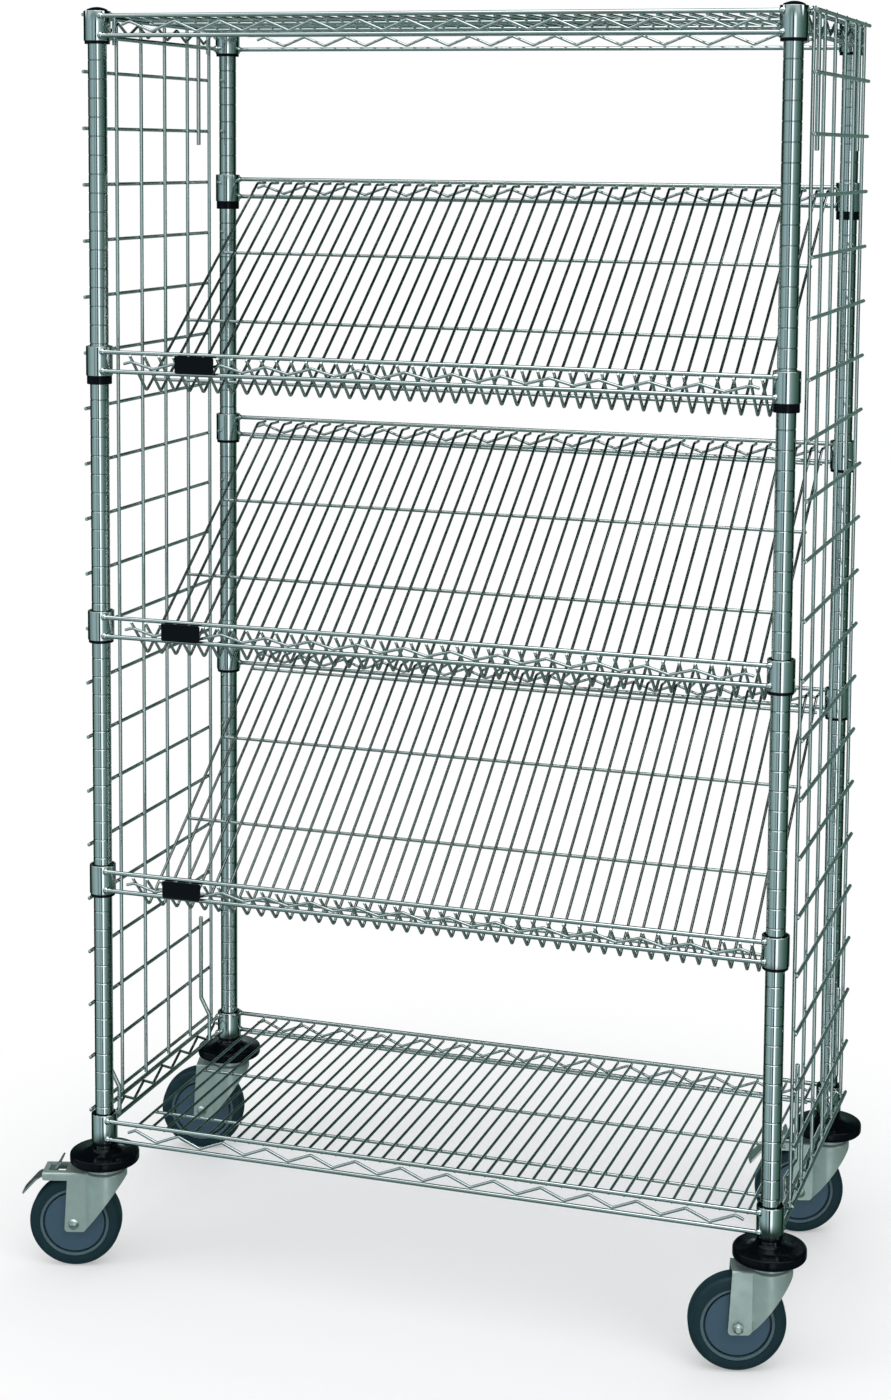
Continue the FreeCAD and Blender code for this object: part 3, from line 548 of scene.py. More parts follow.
# Per effect group, the shader value that a finish sets besides the group's own
SHADER_VALUE = {"Cart Plating": "Metallic", "Cart Moulding": "Specular IOR Level"}

# Effect group, its two colours (one of the cart's finishes or plain values), its two scales,
# roughness, share of the wear, strength and distance of the bump, and the shader value
POST_ROW = ("Cart Plating", "chrome", "chrome_dark", 9.0, 320.0, 0.07, 0.4, 0.05, 0.0002, 1.0)
FINISHES = {
    "Post Chrome": POST_ROW,
    "Grooved Post Chrome": POST_ROW,
    "Wire Chrome": (
        "Cart Plating", "chrome", "chrome_dark", 24.0, 500.0, 0.11, 0.6, 0.08, 0.0002, 1.0),
    "Caster Zinc": (
        "Cart Plating", "zinc", "zinc_dark", 45.0, 420.0, 0.34, 1.0, 0.12, 0.0003, 0.55),
    "Bolt Steel": (
        "Cart Plating", "bolt", "zinc", 90.0, 600.0, 0.27, 0.6, 0.1, 0.0002, 0.9),
    "Black Plastic": (
        "Cart Moulding", "black", (0.010, 0.012, 0.016), 1400.0, 28.0, 0.14, 0.25, 0.04, 0.0002,
        0.09),
    "Tread Rubber": (
        "Cart Moulding", "tread", (0.012, 0.045, 0.052), 1100.0, 60.0, 0.5, 1.0, 0.12, 0.0003,
        0.25),
    "Hub Plastic": (
        "Cart Moulding", "hub", (0.055, 0.10, 0.14), 1500.0, 40.0, 0.42, 0.7, 0.08, 0.0002, 0.35),
    "Band Rubber": (
        "Cart Moulding", "rim_band", (0.10, 0.16, 0.18), 1200.0, 70.0, 0.5, 1.0, 0.1, 0.0002,
        0.35),
}


def finish(name):
    """A Principled material fed by its effect group, with the group's height as a fine bump."""
    found = bpy.data.materials.get(name)
    if found:
        return found
    look = bpy.context.scene.cart_finishes
    kind, main, second, *scales, roughness, wear, strength, distance, value = FINISHES[name]
    tints = [(*(getattr(look, tint) if isinstance(tint, str) else tint), 1.0)
             for tint in (main, second)]
    material, tree, shader, _ = new_material(name)
    effect = add_group(tree, kind, dict(enumerate(
        (*tints, *scales, roughness, look.wear * wear)))).outputs
    bump = add_node(tree, "ShaderNodeBump", {
        "Height": effect["Height"], "Strength": strength, "Distance": distance})
    link_all(tree, shader.inputs, {
        "Base Color": effect["Color"], "Roughness": effect["Roughness"],
        "Normal": bump.outputs["Normal"]})
    shader.inputs[SHADER_VALUE[kind]].default_value = value
    return material


def grooved_chrome(post_foot):
    """Post chrome with painted shade in the grooves of a post that stands at a given height."""
    material = finish("Grooved Post Chrome")
    tree = material.node_tree
    base = tree.nodes["Principled BSDF"].inputs["Base Color"]
    sizes = bpy.context.scene.cart_sizes
    # Painted shade in the grooves, laid over the plate's colour
    rings = add_group(tree, "Cart Grooves", {
        "Color": base.links[0].from_socket, "First": post_foot + sizes.first_groove,
        "Pitch": sizes.groove_pitch, "Width": sizes.groove_width,
        "Painted Shade": bpy.context.scene.cart_finishes.groove_painted_shade})
    tree.links.new(rings.outputs["Color"], base)
    return material


# Pieces

class CartOperator:
    bl_options = {"REGISTER", "UNDO"}


class CART_OT_posts(CartOperator, bpy.types.Operator):
    """Build the four grooved posts"""
    bl_idname = "cart.posts"
    bl_label = "Posts"

    def execute(self, context):
        sizes = context.scene.cart_sizes
        low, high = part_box("front_left_post")
        radius = sizes.post_diameter / 2
        wall = 0.0015
        edge = 0.0004
        bore = radius - wall
        tall = high.z - low.z
        profile = [(bore, 0), (radius - edge, 0), (radius, edge)]
        groove = sizes.first_groove
        while groove < tall - sizes.groove_width:
            profile += [(radius - sizes.groove_depth * deep, groove + sizes.groove_width * across)
                        for across, deep in GROOVE_SECTION]
            groove += sizes.groove_pitch
        profile += [(radius, tall - edge), (radius - edge, tall), (bore, tall)]
        mesh = turned_mesh(profile, steps=40, closed=True)
        chrome = grooved_chrome(low.z)
        for corner in CORNERS:
            bm = bmesh.new()
            stamp(bm, mesh, foot_of(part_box(corner + "_post")))
            add_piece(corner + "_grooved_post", bm, chrome, "post_chrome", [corner + "_post"])
        bpy.data.meshes.remove(mesh)
        return {"FINISHED"}


class CART_OT_caps(CartOperator, bpy.types.Operator):
    """Build the domed caps in the post tops"""
    bl_idname = "cart.caps"
    bl_label = "Post Caps"

    def execute(self, context):
        add_each("domed_post_caps", "post_caps", self.cap, "Black Plastic", "black_plastic")
        return {"FINISHED"}

    def cap(self, low, high):
        """A plug inside the post, and a brim and a dome on its end."""
        sizes = bpy.context.scene.cart_sizes
        plug_gap, edge = 0.0017, 0.0003
        radius = (high.x - low.x) / 2
        plug = sizes.post_diameter / 2 - plug_gap
        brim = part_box("front_left_post")[1].z - low.z
        rim_top = brim + sizes.cap_brim
        profile = [(0, 0), (plug, 0), (plug, brim), (radius - edge, brim), (radius, brim + edge)]
        profile += dome_profile(rim_top, radius, high.z - low.z - rim_top, 7)
        return turned_mesh(profile, steps=40, place=foot_of((low, high)))


class CART_OT_collars(CartOperator, bpy.types.Operator):
    """Build the shelf collars and the split sleeves that they wedge on"""
    bl_idname = "cart.collars"
    bl_label = "Collars and Sleeves"

    def execute(self, context):
        sizes = context.scene.cart_sizes
        low, high = solid_boxes("bottom_shelf_collars")[0]
        tall = high.z - low.z
        collar = self.collar(sizes, (high.x - low.x) / 2, tall)
        sleeves = bmesh.new()
        for level in LEVELS:
            node = level + "_shelf_collars"
            sleeve = self.sleeve(sizes, tall, sizes.upper_seat_rise if level == "upper" else 0.0)
            collars = bmesh.new()
            for pair in solid_boxes(node):
                place = foot_of(pair)
                stamp(collars, collar, place)
                stamp(sleeves, sleeve, place)
                stamp(sleeves, sleeve, place @ Matrix.Rotation(math.pi, 4, "Z"))
            bpy.data.meshes.remove(sleeve)
            add_piece(level + "_wedge_collars", collars, finish("Post Chrome"), "collar_chrome",
                      [node])
        bpy.data.meshes.remove(collar)
        add_piece("wedge_sleeves", sleeves, finish("Black Plastic"), "black_plastic",
                  ["split_sleeves"])
        return {"FINISHED"}

    def collar(self, sizes, radius, tall):
        """A tube with rounded outer edges and a slightly wider top inside."""
        lip = sizes.collar_lip
        bore = radius - sizes.collar_wall
        bore_taper = 0.0006
        profile = [(bore, 0), (radius - lip, 0)]
        profile += round_corner((radius - lip, lip), lip, -90, 0, 4)
        profile += round_corner((radius - lip, tall - lip), lip, 0, 90, 4)
        profile += [(bore - bore_taper, tall)]
        return turned_mesh(profile, closed=True)

    def sleeve(self, sizes, tall, rise):
        """Half a sleeve, from its foot up to just inside the collar's top."""
        play = 0.0001
        edge = 0.0004
        wall_at_seat, wall_at_top, top_gap = 0.003, 0.0022, 0.001
        inner = sizes.post_diameter / 2 + play
        flange = sizes.post_diameter / 2 + sizes.sleeve_wall
        foot = -sizes.sleeve_drop - rise
        top = tall - top_gap - rise
        profile = [(inner, foot), (flange - edge, foot), (flange, foot + edge), (flange, -play),
                   (inner + wall_at_seat, -play), (inner + wall_at_top, top), (inner, top)]
        bm = bmesh.new()
        corners = [bm.verts.new((radius, 0, height)) for radius, height in profile]
        face = bm.faces.new(corners)
        split = math.radians(5)
        bmesh.ops.spin(bm, geom=[face] + face.edges[:] + corners, cent=(0, 0, 0), axis=(0, 0, 1),
                       angle=math.pi - split, steps=20)
        bmesh.ops.recalc_face_normals(bm, faces=bm.faces[:])
        return to_mesh(bm, "sleeve")


def rim_wire(low, high, sizes):
    """One rim wire in its solid's box, with a weld bead on each collar's skin."""
    middle = centre_of((low, high))
    along, out = (RIGHT, BACK) if runs_across(low, high) else (BACK, RIGHT)
    corner = centre_of(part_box("rear_right_post"))
    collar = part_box("bottom_shelf_collars")
    collar_radius = collar[1].dot(out) - corner.dot(out)
    standoff = abs(middle.dot(out)) - corner.dot(out)
    reach = corner.dot(along) - math.sqrt(collar_radius ** 2 - standoff ** 2)
    centre = middle - along * middle.dot(along)
    return wire_mesh([centre - along * reach, centre + along * reach], sizes.rim_wire / 2, 16,
                     sizes.weld_bead / 2)


def truss_wire(low, high, sizes, flat):
    """The zigzag inside its solid's box, with a short end leg at each end."""
    along, waves = (RIGHT, WAVES_ACROSS) if runs_across(low, high) else (BACK, WAVES_DEEP)
    if flat and along == RIGHT:
        high = high + UP * sizes.flat_deck_lift
    middle = centre_of((low, high))
    start, end = low.dot(along), high.dot(along)
    radius = sizes.truss_wire / 2
    valley = low.z + radius
    peak = high.z - radius
    stub_share = 0.35
    half_waves = 2 * waves + 2 * stub_share
    slope = math.atan2(peak - valley, (end - start - radius) / half_waves)
    overshoot = radius * math.sin(slope)
    half_wave = (end - start - 2 * overshoot) / half_waves
    bend_lift = sizes.truss_bend * (1 / math.cos(slope) - 1)
    peak += bend_lift
    valley -= bend_lift
    level = middle - along * middle.dot(along) - UP * middle.z

    def at(place, height):
        return level + along * place + UP * height

    first = start + overshoot + half_wave * stub_share
    stub_height = peak - (peak - valley) * stub_share
    points = [at(first - half_wave * stub_share, stub_height)]
    for index in range(2 * waves + 1):
        points.append(at(first + half_wave * index, valley if index % 2 else peak))
    points.append(at(first + half_wave * (2 * waves + stub_share), stub_height))
    return wire_mesh(bent_path(points, sizes.truss_bend), radius)


class CART_OT_shelf_frames(CartOperator, bpy.types.Operator):
    """Build each shelf's rim or rail wires and the zigzag wires between them"""
    bl_idname = "cart.shelf_frames"
    bl_label = "Shelf Frames"

    def execute(self, context):
        sizes = context.scene.cart_sizes
        for level in LEVELS:
            flat = level in FLAT_LEVELS
            kind = "rim" if flat else "rail"
            add_each(f"{level}_{kind}_rods", f"{level}_shelf_{kind}_wires",
                     lambda low, high: rim_wire(low, high, sizes))
            add_each(level + "_zigzag_rods", level + "_shelf_truss_wires",
                     lambda low, high: truss_wire(low, high, sizes, flat))
        return {"FINISHED"}


class CART_OT_decks(CartOperator, bpy.types.Operator):
    """Build the deck wires, bent up into a lip on the slanted shelves, and their cross wires"""
    bl_idname = "cart.decks"
    bl_label = "Decks"

    def execute(self, context):
        sizes = context.scene.cart_sizes
        lift = UP * sizes.flat_deck_lift
        inset = BACK * sizes.flat_deck_inset
        for level in FLAT_LEVELS:
            add_each(level + "_deck_rods", level + "_shelf_deck_wires",
                     lambda low, high: straight_wire(low + lift + inset, high + lift - inset,
                                                     sizes.deck_wire))
        for level in SLANTED_LEVELS:
            node = level + "_shelf_deck_wires"
            wire = wire_mesh(self.slanted_path(level, sizes), sizes.deck_wire / 2)
            deck = bmesh.new()
            for pair in solid_boxes(node):
                stamp(deck, wire, Matrix.Translation((centre_of(pair).x, 0, 0)))
            bpy.data.meshes.remove(wire)
            add_piece(level + "_deck_rods", deck, finish("Wire Chrome"), "wire_chrome", [node])
        for level in LEVELS:
            rise = lift if level in FLAT_LEVELS else Vector()
            add_each(level + "_cross_rods", level + "_shelf_cross_wires",
                     lambda low, high: straight_wire(low + rise, high + rise, sizes.cross_wire, 14))
        return {"FINISHED"}

    def slanted_path(self, level, sizes):
        """One slanted deck wire from its lip, round the front bend, up to its rear nub."""
        weld_gap = 0.00005
        nub = 0.001
        front_bend_radius, rear_bend_radius = 0.005, 0.012
        rear_run, rear_nub = 0.025, 0.004
        below = (sizes.rim_wire + sizes.deck_wire) / 2 + weld_gap
        front_rim, rear_rim = (self.upper_rail(level, side) for side in (-1, 1))
        along_lip = Vector((0, -math.cos(sizes.lip_angle), math.sin(sizes.lip_angle)))
        under_lip = Vector((0, -math.sin(sizes.lip_angle), -math.cos(sizes.lip_angle)))
        touch = front_rim + under_lip * below
        tip = touch - along_lip * sizes.lip_length
        rear_bend = rear_rim - BACK * rear_run - UP * below
        rear_end = rear_rim + BACK * rear_nub - UP * below
        slope = (rear_bend - tip).normalized()
        joint = tip + slope * (sizes.lip_length / 2)
        front_part = bent_path([touch + along_lip * nub, tip, joint], front_bend_radius, 7)
        rear_part = bent_path([joint, rear_bend, rear_end], rear_bend_radius, 6)
        return front_part[:-1] + rear_part[1:]

    def upper_rail(self, level, side):
        """Where the upper wire of the front (-1) or rear (1) rail crosses the middle plane."""
        middles = [centre_of(pair) for pair in solid_boxes(level + "_shelf_rail_wires")]
        upper = max((place for place in middles if place.y * side > 0),
                    key=lambda place: place.z)
        return Vector((0, upper.y, upper.z))


class CART_OT_label_holders(CartOperator, bpy.types.Operator):
    """Build the bare black label holders on the front rails"""
    bl_idname = "cart.label_holders"
    bl_label = "Label Holders"

    def execute(self, context):
        add_each("label_plates", "label_holders", self.holder, "Black Plastic", "label_plastic")
        return {"FINISHED"}

    def holder(self, low, high):
        """A plate with rounded corners, a raised rim round its face and lips back to the rail."""
        plate_depth = 0.002
        corner_radius = 0.003
        wall = 0.0012
        recess_slope, recess_depth = 0.0003, 0.0004
        tab, tab_pitch = 0.012, 0.0212
        back = low.y + plate_depth
        size = Vector((high.x - low.x, plate_depth, high.z - low.z))
        centre = centre_of((low, high))
        middle = Vector((centre.x, low.y + plate_depth / 2, centre.z))
        part = bmesh.new()
        bmesh.ops.create_cube(part, size=1.0, matrix=Matrix.LocRotScale(middle, None, size))
        upright = [edge for edge in part.edges
                   if abs(edge.verts[0].co.y - edge.verts[1].co.y) > plate_depth / 2]
        bmesh.ops.bevel(part, geom=upright, offset=corner_radius, segments=6, profile=0.5,
                        affect="EDGES", material=-1)
        face = min(part.faces, key=lambda item: item.calc_center_median().y)
        bmesh.ops.inset_region(part, faces=[face], thickness=wall, depth=0.0, use_even_offset=True)
        face = min((item for item in part.faces if len(item.verts) > 6),
                   key=lambda item: (round(item.calc_center_median().y, 6), item.calc_area()))
        bmesh.ops.inset_region(part, faces=[face], thickness=recess_slope, depth=-recess_depth,
                               use_even_offset=True)
        left_end, right_end = low.x + corner_radius, high.x - corner_radius
        lips = [((left_end, back, low.z), (right_end, high.y, low.z + wall))]
        for step in (-1, 0, 1):
            left = max(middle.x + step * tab_pitch - tab / 2, left_end)
            right = min(middle.x + step * tab_pitch + tab / 2, right_end)
            lips.append(((left, back, high.z - wall), (right, high.y, high.z)))
        for start, end in lips:
            start, end = Vector(start), Vector(end)
            bmesh.ops.create_cube(part, size=1.0,
                                  matrix=Matrix.LocRotScale((start + end) / 2, None, end - start))
        bmesh.ops.recalc_face_normals(part, faces=part.faces[:])
        return to_mesh(part, "holder")


class CART_OT_side_panels(CartOperator, bpy.types.Operator):
    """Build the two wire side panels and the hooks that carry them"""
    bl_idname = "cart.side_panels"
    bl_label = "Side Panels"

    def execute(self, context):
        sizes = context.scene.cart_sizes
        for side, outward in SIDES.items():
            for kind in ("upright", "level"):
                add_each(f"{side}_{kind}_rods", f"{side}_panel_{kind}_wires",
                         lambda low, high: straight_wire(low, high, sizes.panel_wire))
            add_each(side + "_hook_rods", side + "_panel_hooks", lambda low, high: wire_mesh(
                self.hook_path(low, high, outward, sizes), sizes.hook_wire / 2, 14))
        return {"FINISHED"}

    def hook_path(self, low, high, outward, sizes):
        """An over-the-rim hook at the top shelf, or a stepped one inside the bottom rim."""
        radius = sizes.hook_wire / 2
        middle = centre_of((low, high))
        outer = (high.x if outward > 0 else low.x) - outward * radius
        inner = (low.x if outward > 0 else high.x) + outward * radius

        def at(x, z):
            return Vector((x, middle.y, z))

        if middle.z > centre_of(CAD_BOUNDS).z:
            inner_end = 0.134
            crown = high.z - radius - abs(outer - inner) / 2
            arc = half_circle(at(outer, crown), at(inner, crown), UP, 12)
            return [at(outer, low.z)] + arc + [at(inner, low.z + inner_end)]
        rim_rise, step_foot, step_head, bend_radius = 0.020, 0.020, 0.046, 0.008
        rim_height = low.z + rim_rise
        points = [at(outer, high.z), at(outer, rim_height + step_head),
                  at(inner, rim_height + step_foot), at(inner, low.z)]
        return bent_path(points, bend_radius, 6)


class CART_OT_bumpers(CartOperator, bpy.types.Operator):
    """Build the round bumpers above the casters"""
    bl_idname = "cart.bumpers"
    bl_label = "Bumpers"

    def execute(self, context):
        add_each("round_bumpers", "bumpers", self.bumper, "Black Plastic", "black_plastic")
        return {"FINISHED"}

    def bumper(self, low, high):
        """A thick disc with round edges, a shallow groove below and a flared hub above."""
        hub = 0.006
        edge, hub_edge, bore_edge = 0.0035, 0.0004, 0.0006
        bore, neck, flare = 0.0112, 0.019, 0.030
        flare_bend = 1.6
        groove_depth = 0.0008
        groove_insets = ((0.012, 0), (0.011, groove_depth), (0.009, groove_depth), (0.008, 0))
        radius = (high.x - low.x) / 2
        tall = high.z - low.z - hub
        profile = [(bore, 0)] + [(radius - inset, height) for inset, height in groove_insets]
        profile += round_corner((radius - edge, edge), edge, -90, 0, 6)
        profile += round_corner((radius - edge, tall - edge), edge, 0, 90, 6)
        profile += [(flare, tall)]
        profile += [(neck + (flare - neck) * (1 - part) ** flare_bend, tall + hub * part)
                    for part in (0.12, 0.28, 0.46, 0.66, 0.86)]
        profile += [(neck, tall + hub - hub_edge), (neck - hub_edge, tall + hub),
                    (bore + bore_edge, tall + hub), (bore, tall + hub - bore_edge)]
        return turned_mesh(profile, steps=72, closed=True, place=foot_of((low, high)))


class CART_OT_stems(CartOperator, bpy.types.Operator):
    """Smooth the stems and the swivel races"""
    bl_idname = "cart.stems"
    bl_label = "Stems and Races"

    def execute(self, context):
        add_smoothed("stems", "caster_stems", "Caster Zinc")
        add_smoothed("races", "swivel_races", "Caster Zinc")
        return {"FINISHED"}


class CART_OT_forks(CartOperator, bpy.types.Operator):
    """Smooth the pressed forks and, on the braked casters, the pedals"""
    bl_idname = "cart.forks"
    bl_label = "Forks and Pedals"

    def execute(self, context):
        for corner in CORNERS:
            add_smoothed(corner + "_pressed_fork", corner + "_fork", "Caster Zinc",
                         corner + "_fork_body")
        for corner in BRAKED:
            add_smoothed(corner + "_pedal", corner + "_brake_pedal", "Bolt Steel",
                         corner + "_pedal_body")
        return {"FINISHED"}


def axle_matrix(corner):
    """From a turned part's Z axis to the axle's line, at the wheel's centre."""
    swivel = Vector(JOINTS[corner + "_swivel"]["pos_m"])
    axle = Vector(JOINTS[corner + "_wheel_spin"]["pos_m"])
    heading = math.atan2(axle.y - swivel.y, axle.x - swivel.x)
    trail = (axle.xy - swivel.xy).length
    return (Matrix.Translation((swivel.x, swivel.y, 0)) @ Matrix.Rotation(heading, 4, "Z")
            @ Matrix.Translation((trail, 0, axle.z)) @ Matrix.Rotation(math.pi / 2, 4, "X"))


class CART_OT_axles(CartOperator, bpy.types.Operator):
    """Build the axle bolts with their domed heads, threaded ends and hexagon nuts"""
    bl_idname = "cart.axles"
    bl_label = "Axle Bolts"

    def execute(self, context):
        bolt, nut = self.bolt(), self.nut()
        for corner in CORNERS:
            turn = Matrix.Rotation(0.0 if corner == NUT_IN_FRONT else math.pi, 4, "X")
            place = axle_matrix(corner) @ turn
            bm = bmesh.new()
            stamp(bm, bolt, place)
            stamp(bm, nut, place)
            add_piece(corner + "_axle_bolt", bm, finish("Bolt Steel"), "bolt_steel",
                      [corner + "_axle"], corner + "_fork_body")
        for mesh in (bolt, nut):
            bpy.data.meshes.remove(mesh)
        return {"FINISHED"}

    def bolt(self):
        """The bolt about its own axis, its domed head towards +Z and its thread beyond the nut."""
        shank, head, head_rise = 0.004, 0.0075, 0.0045
        point_edge, head_edge = 0.0008, 0.0002
        thread_start, thread_pitch, thread_depth = 0.0006, 0.0007, 0.0003
        profile = [(0, -AXLE_END), (shank - point_edge, -AXLE_END),
                   (shank, -AXLE_END + thread_start)]
        for turn in range(1, 4):
            ridge = -AXLE_END + thread_start + turn * thread_pitch
            profile += [(shank - thread_depth, ridge - thread_pitch / 2), (shank, ridge)]
        profile += [(shank, AXLE_SEAT), (head - head_edge, AXLE_SEAT),
                    (head, AXLE_SEAT + head_edge)]
        profile += dome_profile(AXLE_SEAT, head, head_rise, 9)[1:]
        return turned_mesh(profile, steps=40)

    def nut(self):
        """A hexagon nut with chamfered corners, seated on the fork's leg."""
        across_flats, tall, chamfer = 0.013, 0.0065, 0.0006
        radius = across_flats / math.sqrt(3)
        part = bmesh.new()
        bmesh.ops.create_cone(part, cap_ends=True, segments=6, radius1=radius, radius2=radius,
                              depth=tall)
        ends = [edge for edge in part.edges
                if abs(edge.verts[0].co.z - edge.verts[1].co.z) < tall / 2]
        bmesh.ops.bevel(part, geom=ends, offset=chamfer, segments=2, profile=0.5, affect="EDGES",
                        material=-1)
        bmesh.ops.translate(part, verts=part.verts[:], vec=(0, 0, -AXLE_SEAT - tall / 2))
        return to_mesh(part, "nut")


class CART_OT_wheels(CartOperator, bpy.types.Operator):
    """Build the treads and the hubs with their ring grooves"""
    bl_idname = "cart.wheels"
    bl_label = "Wheels"

    def execute(self, context):
        low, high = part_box("front_left_wheel_tread")
        parts = (("tread", self.tread((high.z - low.z) / 2), "Tread Rubber", "tread_rubber"),
                 ("hub", self.hub(), "Hub Plastic", "hub_plastic"),
                 ("rim_band", self.band(), "Band Rubber", "hub_plastic"))
        for corner in CORNERS:
            place = axle_matrix(corner)
            for name, mesh, look, slot in parts:
                node = f"{corner}_wheel_{name}"
                bm = bmesh.new()
                stamp(bm, mesh, place)
                add_piece(f"{corner}_{name}", bm, finish(look), slot,
                          [node] if node in frame["nodes"] else (), corner + "_wheel_body")
        for _, mesh, _, _ in parts:
            bpy.data.meshes.remove(mesh)
        return {"FINISHED"}

    def tread(self, radius):
        """A tyre with flat sides and rounded shoulders."""
        half, shoulder, inner = 0.016, 0.009, 0.0485
        rings = (inner, inner + 0.0012, inner + 0.002)
        profile = [(ring, -half) for ring in rings]
        profile += round_corner((radius - shoulder, -half + shoulder), shoulder, -90, 0, 9)
        profile += round_corner((radius - shoulder, half - shoulder), shoulder, 0, 90, 9)
        profile += [(ring, half) for ring in reversed(rings)]
        return turned_mesh(profile, steps=96, closed=True)

    def two_sided(self, one_side):
        """A turned mesh from the profile of one face, from the rim inwards, and its mirror."""
        other = [(radius, -height) for radius, height in reversed(one_side)]
        return turned_mesh(one_side + other, steps=96, closed=True)

    def hub(self):
        """A hub whose faces carry a ring groove, a shallow dish and a boss."""
        face = 0.0145
        return self.two_sided([
            (0.0444, face - 0.0070), (0.0415, face - 0.0070), (0.0415, face - 0.0014),
            (0.0411, face - 0.001), (0.0150, face - 0.001), (0.0136, face - 0.0008),
            (0.0130, face + 0.0002), (0.0128, 0.0170), (0.0124, 0.0172), (0.0041, 0.0172)])

    def band(self):
        """The paler band between the ring groove and the tread."""
        face = 0.0145
        return self.two_sided([
            (0.0444, face - 0.0003), (0.0447, face), (0.0481, face), (0.0485, face - 0.0004)])


# Studio

# Colours that the plated metal mirrors, from dark to bright
GAP, MOSS, HAZE = (0.002, 0.013, 0.007), (0.045, 0.105, 0.075), (0.12, 0.21, 0.18)
SEA, SKY, GLOW = (0.26, 0.38, 0.36), (0.47, 0.62, 0.68), (0.66, 0.77, 0.80)
LAMP = (1.9, 1.98, 2.0)

# Round the cart: 0 is its left, 0.25 its front, 0.5 its right and 0.75 its back
WALLS = (
    (0.0, MOSS), (0.04, SEA), (0.14, SKY), (0.18, SKY), (0.19, SEA), (0.212, SEA),
    (0.222, SKY), (0.256, SKY), (0.265, GAP), (0.289, GAP), (0.299, LAMP), (0.330, LAMP),
    (0.348, SKY), (0.400, SEA), (0.470, HAZE), (0.560, MOSS), (0.600, GAP), (0.66, GAP),
    (0.68, HAZE), (0.79, HAZE), (0.80, GLOW), (0.82, GLOW), (0.83, SEA), (0.855, HAZE),
    (0.87, GAP), (0.975, GAP), (1.0, MOSS))

# Overhead: 0 is the front, 0.5 straight up and 1 the back
CEILING = (
    (0.0, SEA), (0.22, SEA), (0.26, GLOW), (0.33, GLOW), (0.36, HAZE), (0.41, HAZE),
    (0.42, LAMP), (0.495, LAMP), (0.505, GAP), (0.78, GAP), (0.88, HAZE), (1.0, HAZE))


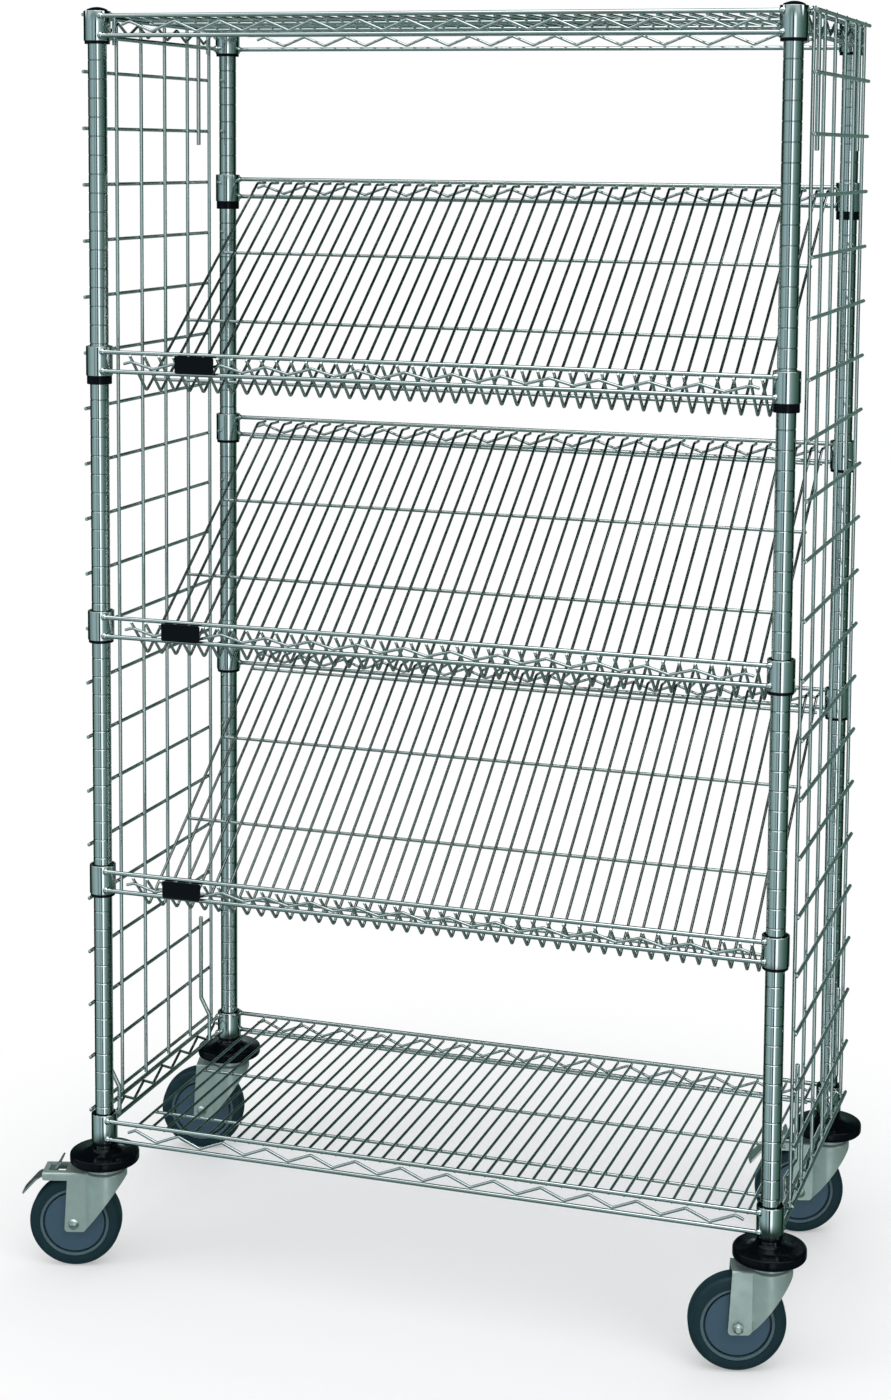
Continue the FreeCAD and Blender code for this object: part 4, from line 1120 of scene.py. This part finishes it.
class CART_OT_stage(CartOperator, bpy.types.Operator):
    """Build the pale floor, the soft lights, the dome that chrome mirrors, and the camera"""
    bl_idname = "cart.stage"
    bl_label = "Studio"

    def execute(self, context):
        stage = context.scene.cart_stage
        self.floor(stage)
        self.world(context.scene)
        self.dome(stage)
        self.lights(context.scene, stage)
        self.camera(context.scene, stage)
        context.scene.view_settings.view_transform = "Standard"
        return {"FINISHED"}

    def stage_object(self, name, bm, material):
        piece = new_object(name, bm)
        piece.data.materials.append(material)
        return piece

    def floor(self, stage):
        """A pale floor that keeps the cart's shadow and turns white to the camera further out."""
        material, tree, shader, end = new_material("Studio Floor")
        place = object_place(tree)
        clouds = mapped(tree, noise(tree, place, 1.6, 4.0), 0.0, 1.0, 0.97)
        tint = mixed(tree, clouds, (0.88, 0.885, 0.885, 1), (*stage.floor_colour, 1))
        tree.links.new(tint, shader.inputs["Base Color"])
        shader.inputs["Roughness"].default_value = 0.7
        shader.inputs["Specular IOR Level"].default_value = 0.2
        away = add_node(tree, "ShaderNodeVectorMath", {0: place}, operation="LENGTH")
        fade = mapped(tree, away.outputs["Value"], 0.42, 1.1, 0.3, interpolation_type="SMOOTHSTEP")
        seen = add_node(tree, "ShaderNodeLightPath").outputs["Is Camera Ray"]
        white = add_node(tree, "ShaderNodeEmission", {"Color": (1, 1, 1, 1), "Strength": 1.0})
        tree.links.new(mixed_shaders(tree, maths(tree, "MULTIPLY", fade, seen), shader, white),
                       end.inputs["Surface"])
        bm = bmesh.new()
        bmesh.ops.create_circle(bm, cap_ends=True, segments=96, radius=stage.floor_radius)
        self.stage_object("studio_floor", bm, material).visible_glossy = False

    def world(self, scene):
        """White to the camera, to glossy and to transmission rays, and soft and plain to others."""
        world = bpy.data.worlds.new("Studio")
        scene.world = world
        world.use_nodes = True
        tree = world.node_tree
        tree.nodes.clear()
        path = add_node(tree, "ShaderNodeLightPath").outputs
        seen = maths(tree, "MAXIMUM", path["Is Camera Ray"], path["Is Glossy Ray"])
        seen = maths(tree, "MAXIMUM", seen, path["Is Transmission Ray"])
        soft, white = (add_node(tree, "ShaderNodeBackground", {"Color": tint, "Strength": strength})
                       for tint, strength in (((0.96, 0.98, 1, 1), 0.7), ((1, 1, 1, 1), 1.0)))
        end = tree.nodes.new("ShaderNodeOutputWorld")
        tree.links.new(mixed_shaders(tree, seen, soft, white), end.inputs["Surface"])

    def dome(self, stage):
        """A studio of soft walls, bright boxes and dark gaps, seen only in the plated metal."""
        material, tree, shader, end = new_material("Studio Dome")
        tree.nodes.remove(shader)
        place = object_place(tree)
        parts = add_node(tree, "ShaderNodeSeparateXYZ", {0: place}).outputs
        around = add_node(tree, "ShaderNodeTexGradient", {"Vector": place}, gradient_type="RADIAL")
        walls = self.ramp(tree, around.outputs["Fac"], WALLS)
        lean = maths(tree, "DIVIDE", parts["Y"], parts["Z"])
        ceiling = self.ramp(tree, maths(tree, "MULTIPLY_ADD", lean, 0.125, 0.5), CEILING)
        height = maths(tree, "DIVIDE", parts["Z"], stage.dome_radius)
        upper = mixed(tree, mapped(tree, height, 0.31, 0.38), walls, ceiling)
        ground = mixed(tree, mapped(tree, height, -0.70, -0.82), (0.025, 0.05, 0.04, 1),
                       (0.18, 0.26, 0.24, 1))
        whole = mixed(tree, mapped(tree, height, -0.37, -0.47), upper, ground)
        shine = add_node(tree, "ShaderNodeEmission", {"Color": whole, "Strength": 1.0})
        tree.links.new(shine.outputs[0], end.inputs["Surface"])
        bm = bmesh.new()
        bmesh.ops.create_uvsphere(bm, u_segments=96, v_segments=48, radius=stage.dome_radius)
        dome = self.stage_object("studio_dome", bm, material)
        for ray in ("camera", "diffuse", "shadow", "transmission"):
            setattr(dome, "visible_" + ray, False)

    def ramp(self, tree, value, stops):
        """Colours at the given places, with straight blends between them."""
        ramp = add_node(tree, "ShaderNodeValToRGB", {"Fac": value})
        elements = ramp.color_ramp.elements
        while len(elements) < len(stops):
            elements.new(1.0)
        for element, (place, tint) in zip(elements, stops):
            element.position = place
            element.color = (*tint, 1.0)
        return ramp.outputs["Color"]

    def lights(self, scene, stage):
        """Square area lights that face the cart; only the key shows in glossy surfaces."""
        middle = centre_of(CAD_BOUNDS)
        for name, place, size, power in (
                ("key", (0.6, -1.4, 4.2), 3.2, stage.key_power),
                ("left", (-3.4, -2.4, 2.2), 2.2, stage.side_power),
                ("right", (3.6, -2.2, 2.4), 2.2, stage.side_power),
                ("rear", (0.0, 3.4, 2.8), 2.4, stage.side_power * 0.7)):
            data = bpy.data.lights.new(name, "AREA")
            data.shape = "SQUARE"
            data.size = size
            data.energy = power
            light = bpy.data.objects.new("studio_light_" + name, data)
            light.location = place
            light.rotation_euler = (middle - Vector(place)).to_track_quat("-Z", "Y").to_euler()
            scene.collection.objects.link(light)
            light.visible_glossy = name == "key"

    def camera(self, scene, stage):
        """The camera that was fitted to the photograph."""
        data = bpy.data.cameras.new("photo_camera")
        data.sensor_width = 36.0
        data.lens = stage.focal_pixels / PHOTO_HEIGHT * data.sensor_width
        data.shift_x = (PHOTO_WIDTH / 2 - stage.centre_pixels[0]) / PHOTO_HEIGHT
        data.shift_y = (stage.centre_pixels[1] - PHOTO_HEIGHT / 2) / PHOTO_HEIGHT
        camera = bpy.data.objects.new("photo_camera", data)
        yaw, pitch, roll = stage.camera_yaw, stage.camera_pitch, stage.camera_roll
        forward = Vector((-math.sin(yaw) * math.cos(pitch), math.cos(yaw) * math.cos(pitch),
                          -math.sin(pitch)))
        right = Vector((math.cos(yaw), math.sin(yaw), 0))
        up = right.cross(forward)
        rolled_right = right * math.cos(roll) - up * math.sin(roll)
        rolled_up = up * math.cos(roll) + right * math.sin(roll)
        turn = Matrix((rolled_right, rolled_up, -forward)).transposed().to_4x4()
        camera.matrix_world = Matrix.Translation(Vector(stage.camera_place)) @ turn
        scene.collection.objects.link(camera)
        scene.camera = camera


OPERATORS = (
    CART_OT_posts, CART_OT_caps, CART_OT_collars, CART_OT_shelf_frames, CART_OT_decks,
    CART_OT_label_holders, CART_OT_side_panels, CART_OT_bumpers, CART_OT_stems, CART_OT_forks,
    CART_OT_axles, CART_OT_wheels, CART_OT_stage)


class CART_PT_panel(bpy.types.Panel):
    bl_idname = "CART_PT_panel"
    bl_label = "Slanted Shelf Cart"
    bl_space_type = "VIEW_3D"
    bl_region_type = "UI"
    bl_category = "Shelf Cart"

    def draw(self, context):
        for operator in OPERATORS:
            self.layout.operator(operator.bl_idname)
        for group in (context.scene.cart_sizes, context.scene.cart_finishes,
                      context.scene.cart_stage):
            box = self.layout.box()
            for key in group.__annotations__:
                box.prop(group, key)


GROUPS = {"cart_sizes": CartSizes, "cart_finishes": CartFinishes, "cart_stage": CartStage}


def register():
    for key, group in GROUPS.items():
        bpy.utils.register_class(group)
        setattr(bpy.types.Scene, key, bpy.props.PointerProperty(type=group))
    for operator in OPERATORS:
        bpy.utils.register_class(operator)
    bpy.utils.register_class(CART_PT_panel)


def unregister():
    bpy.utils.unregister_class(CART_PT_panel)
    for operator in reversed(OPERATORS):
        bpy.utils.unregister_class(operator)
    for key, group in reversed(GROUPS.items()):
        delattr(bpy.types.Scene, key)
        bpy.utils.unregister_class(group)


def write_sizes():
    """Bring the view layer up to date; no boxes are written."""
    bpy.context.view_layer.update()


def main():
    register()
    for operator in OPERATORS:
        group, name = operator.bl_idname.split(".")
        getattr(getattr(bpy.ops, group), name)()
    write_sizes()


if __name__ == "__main__":
    main()
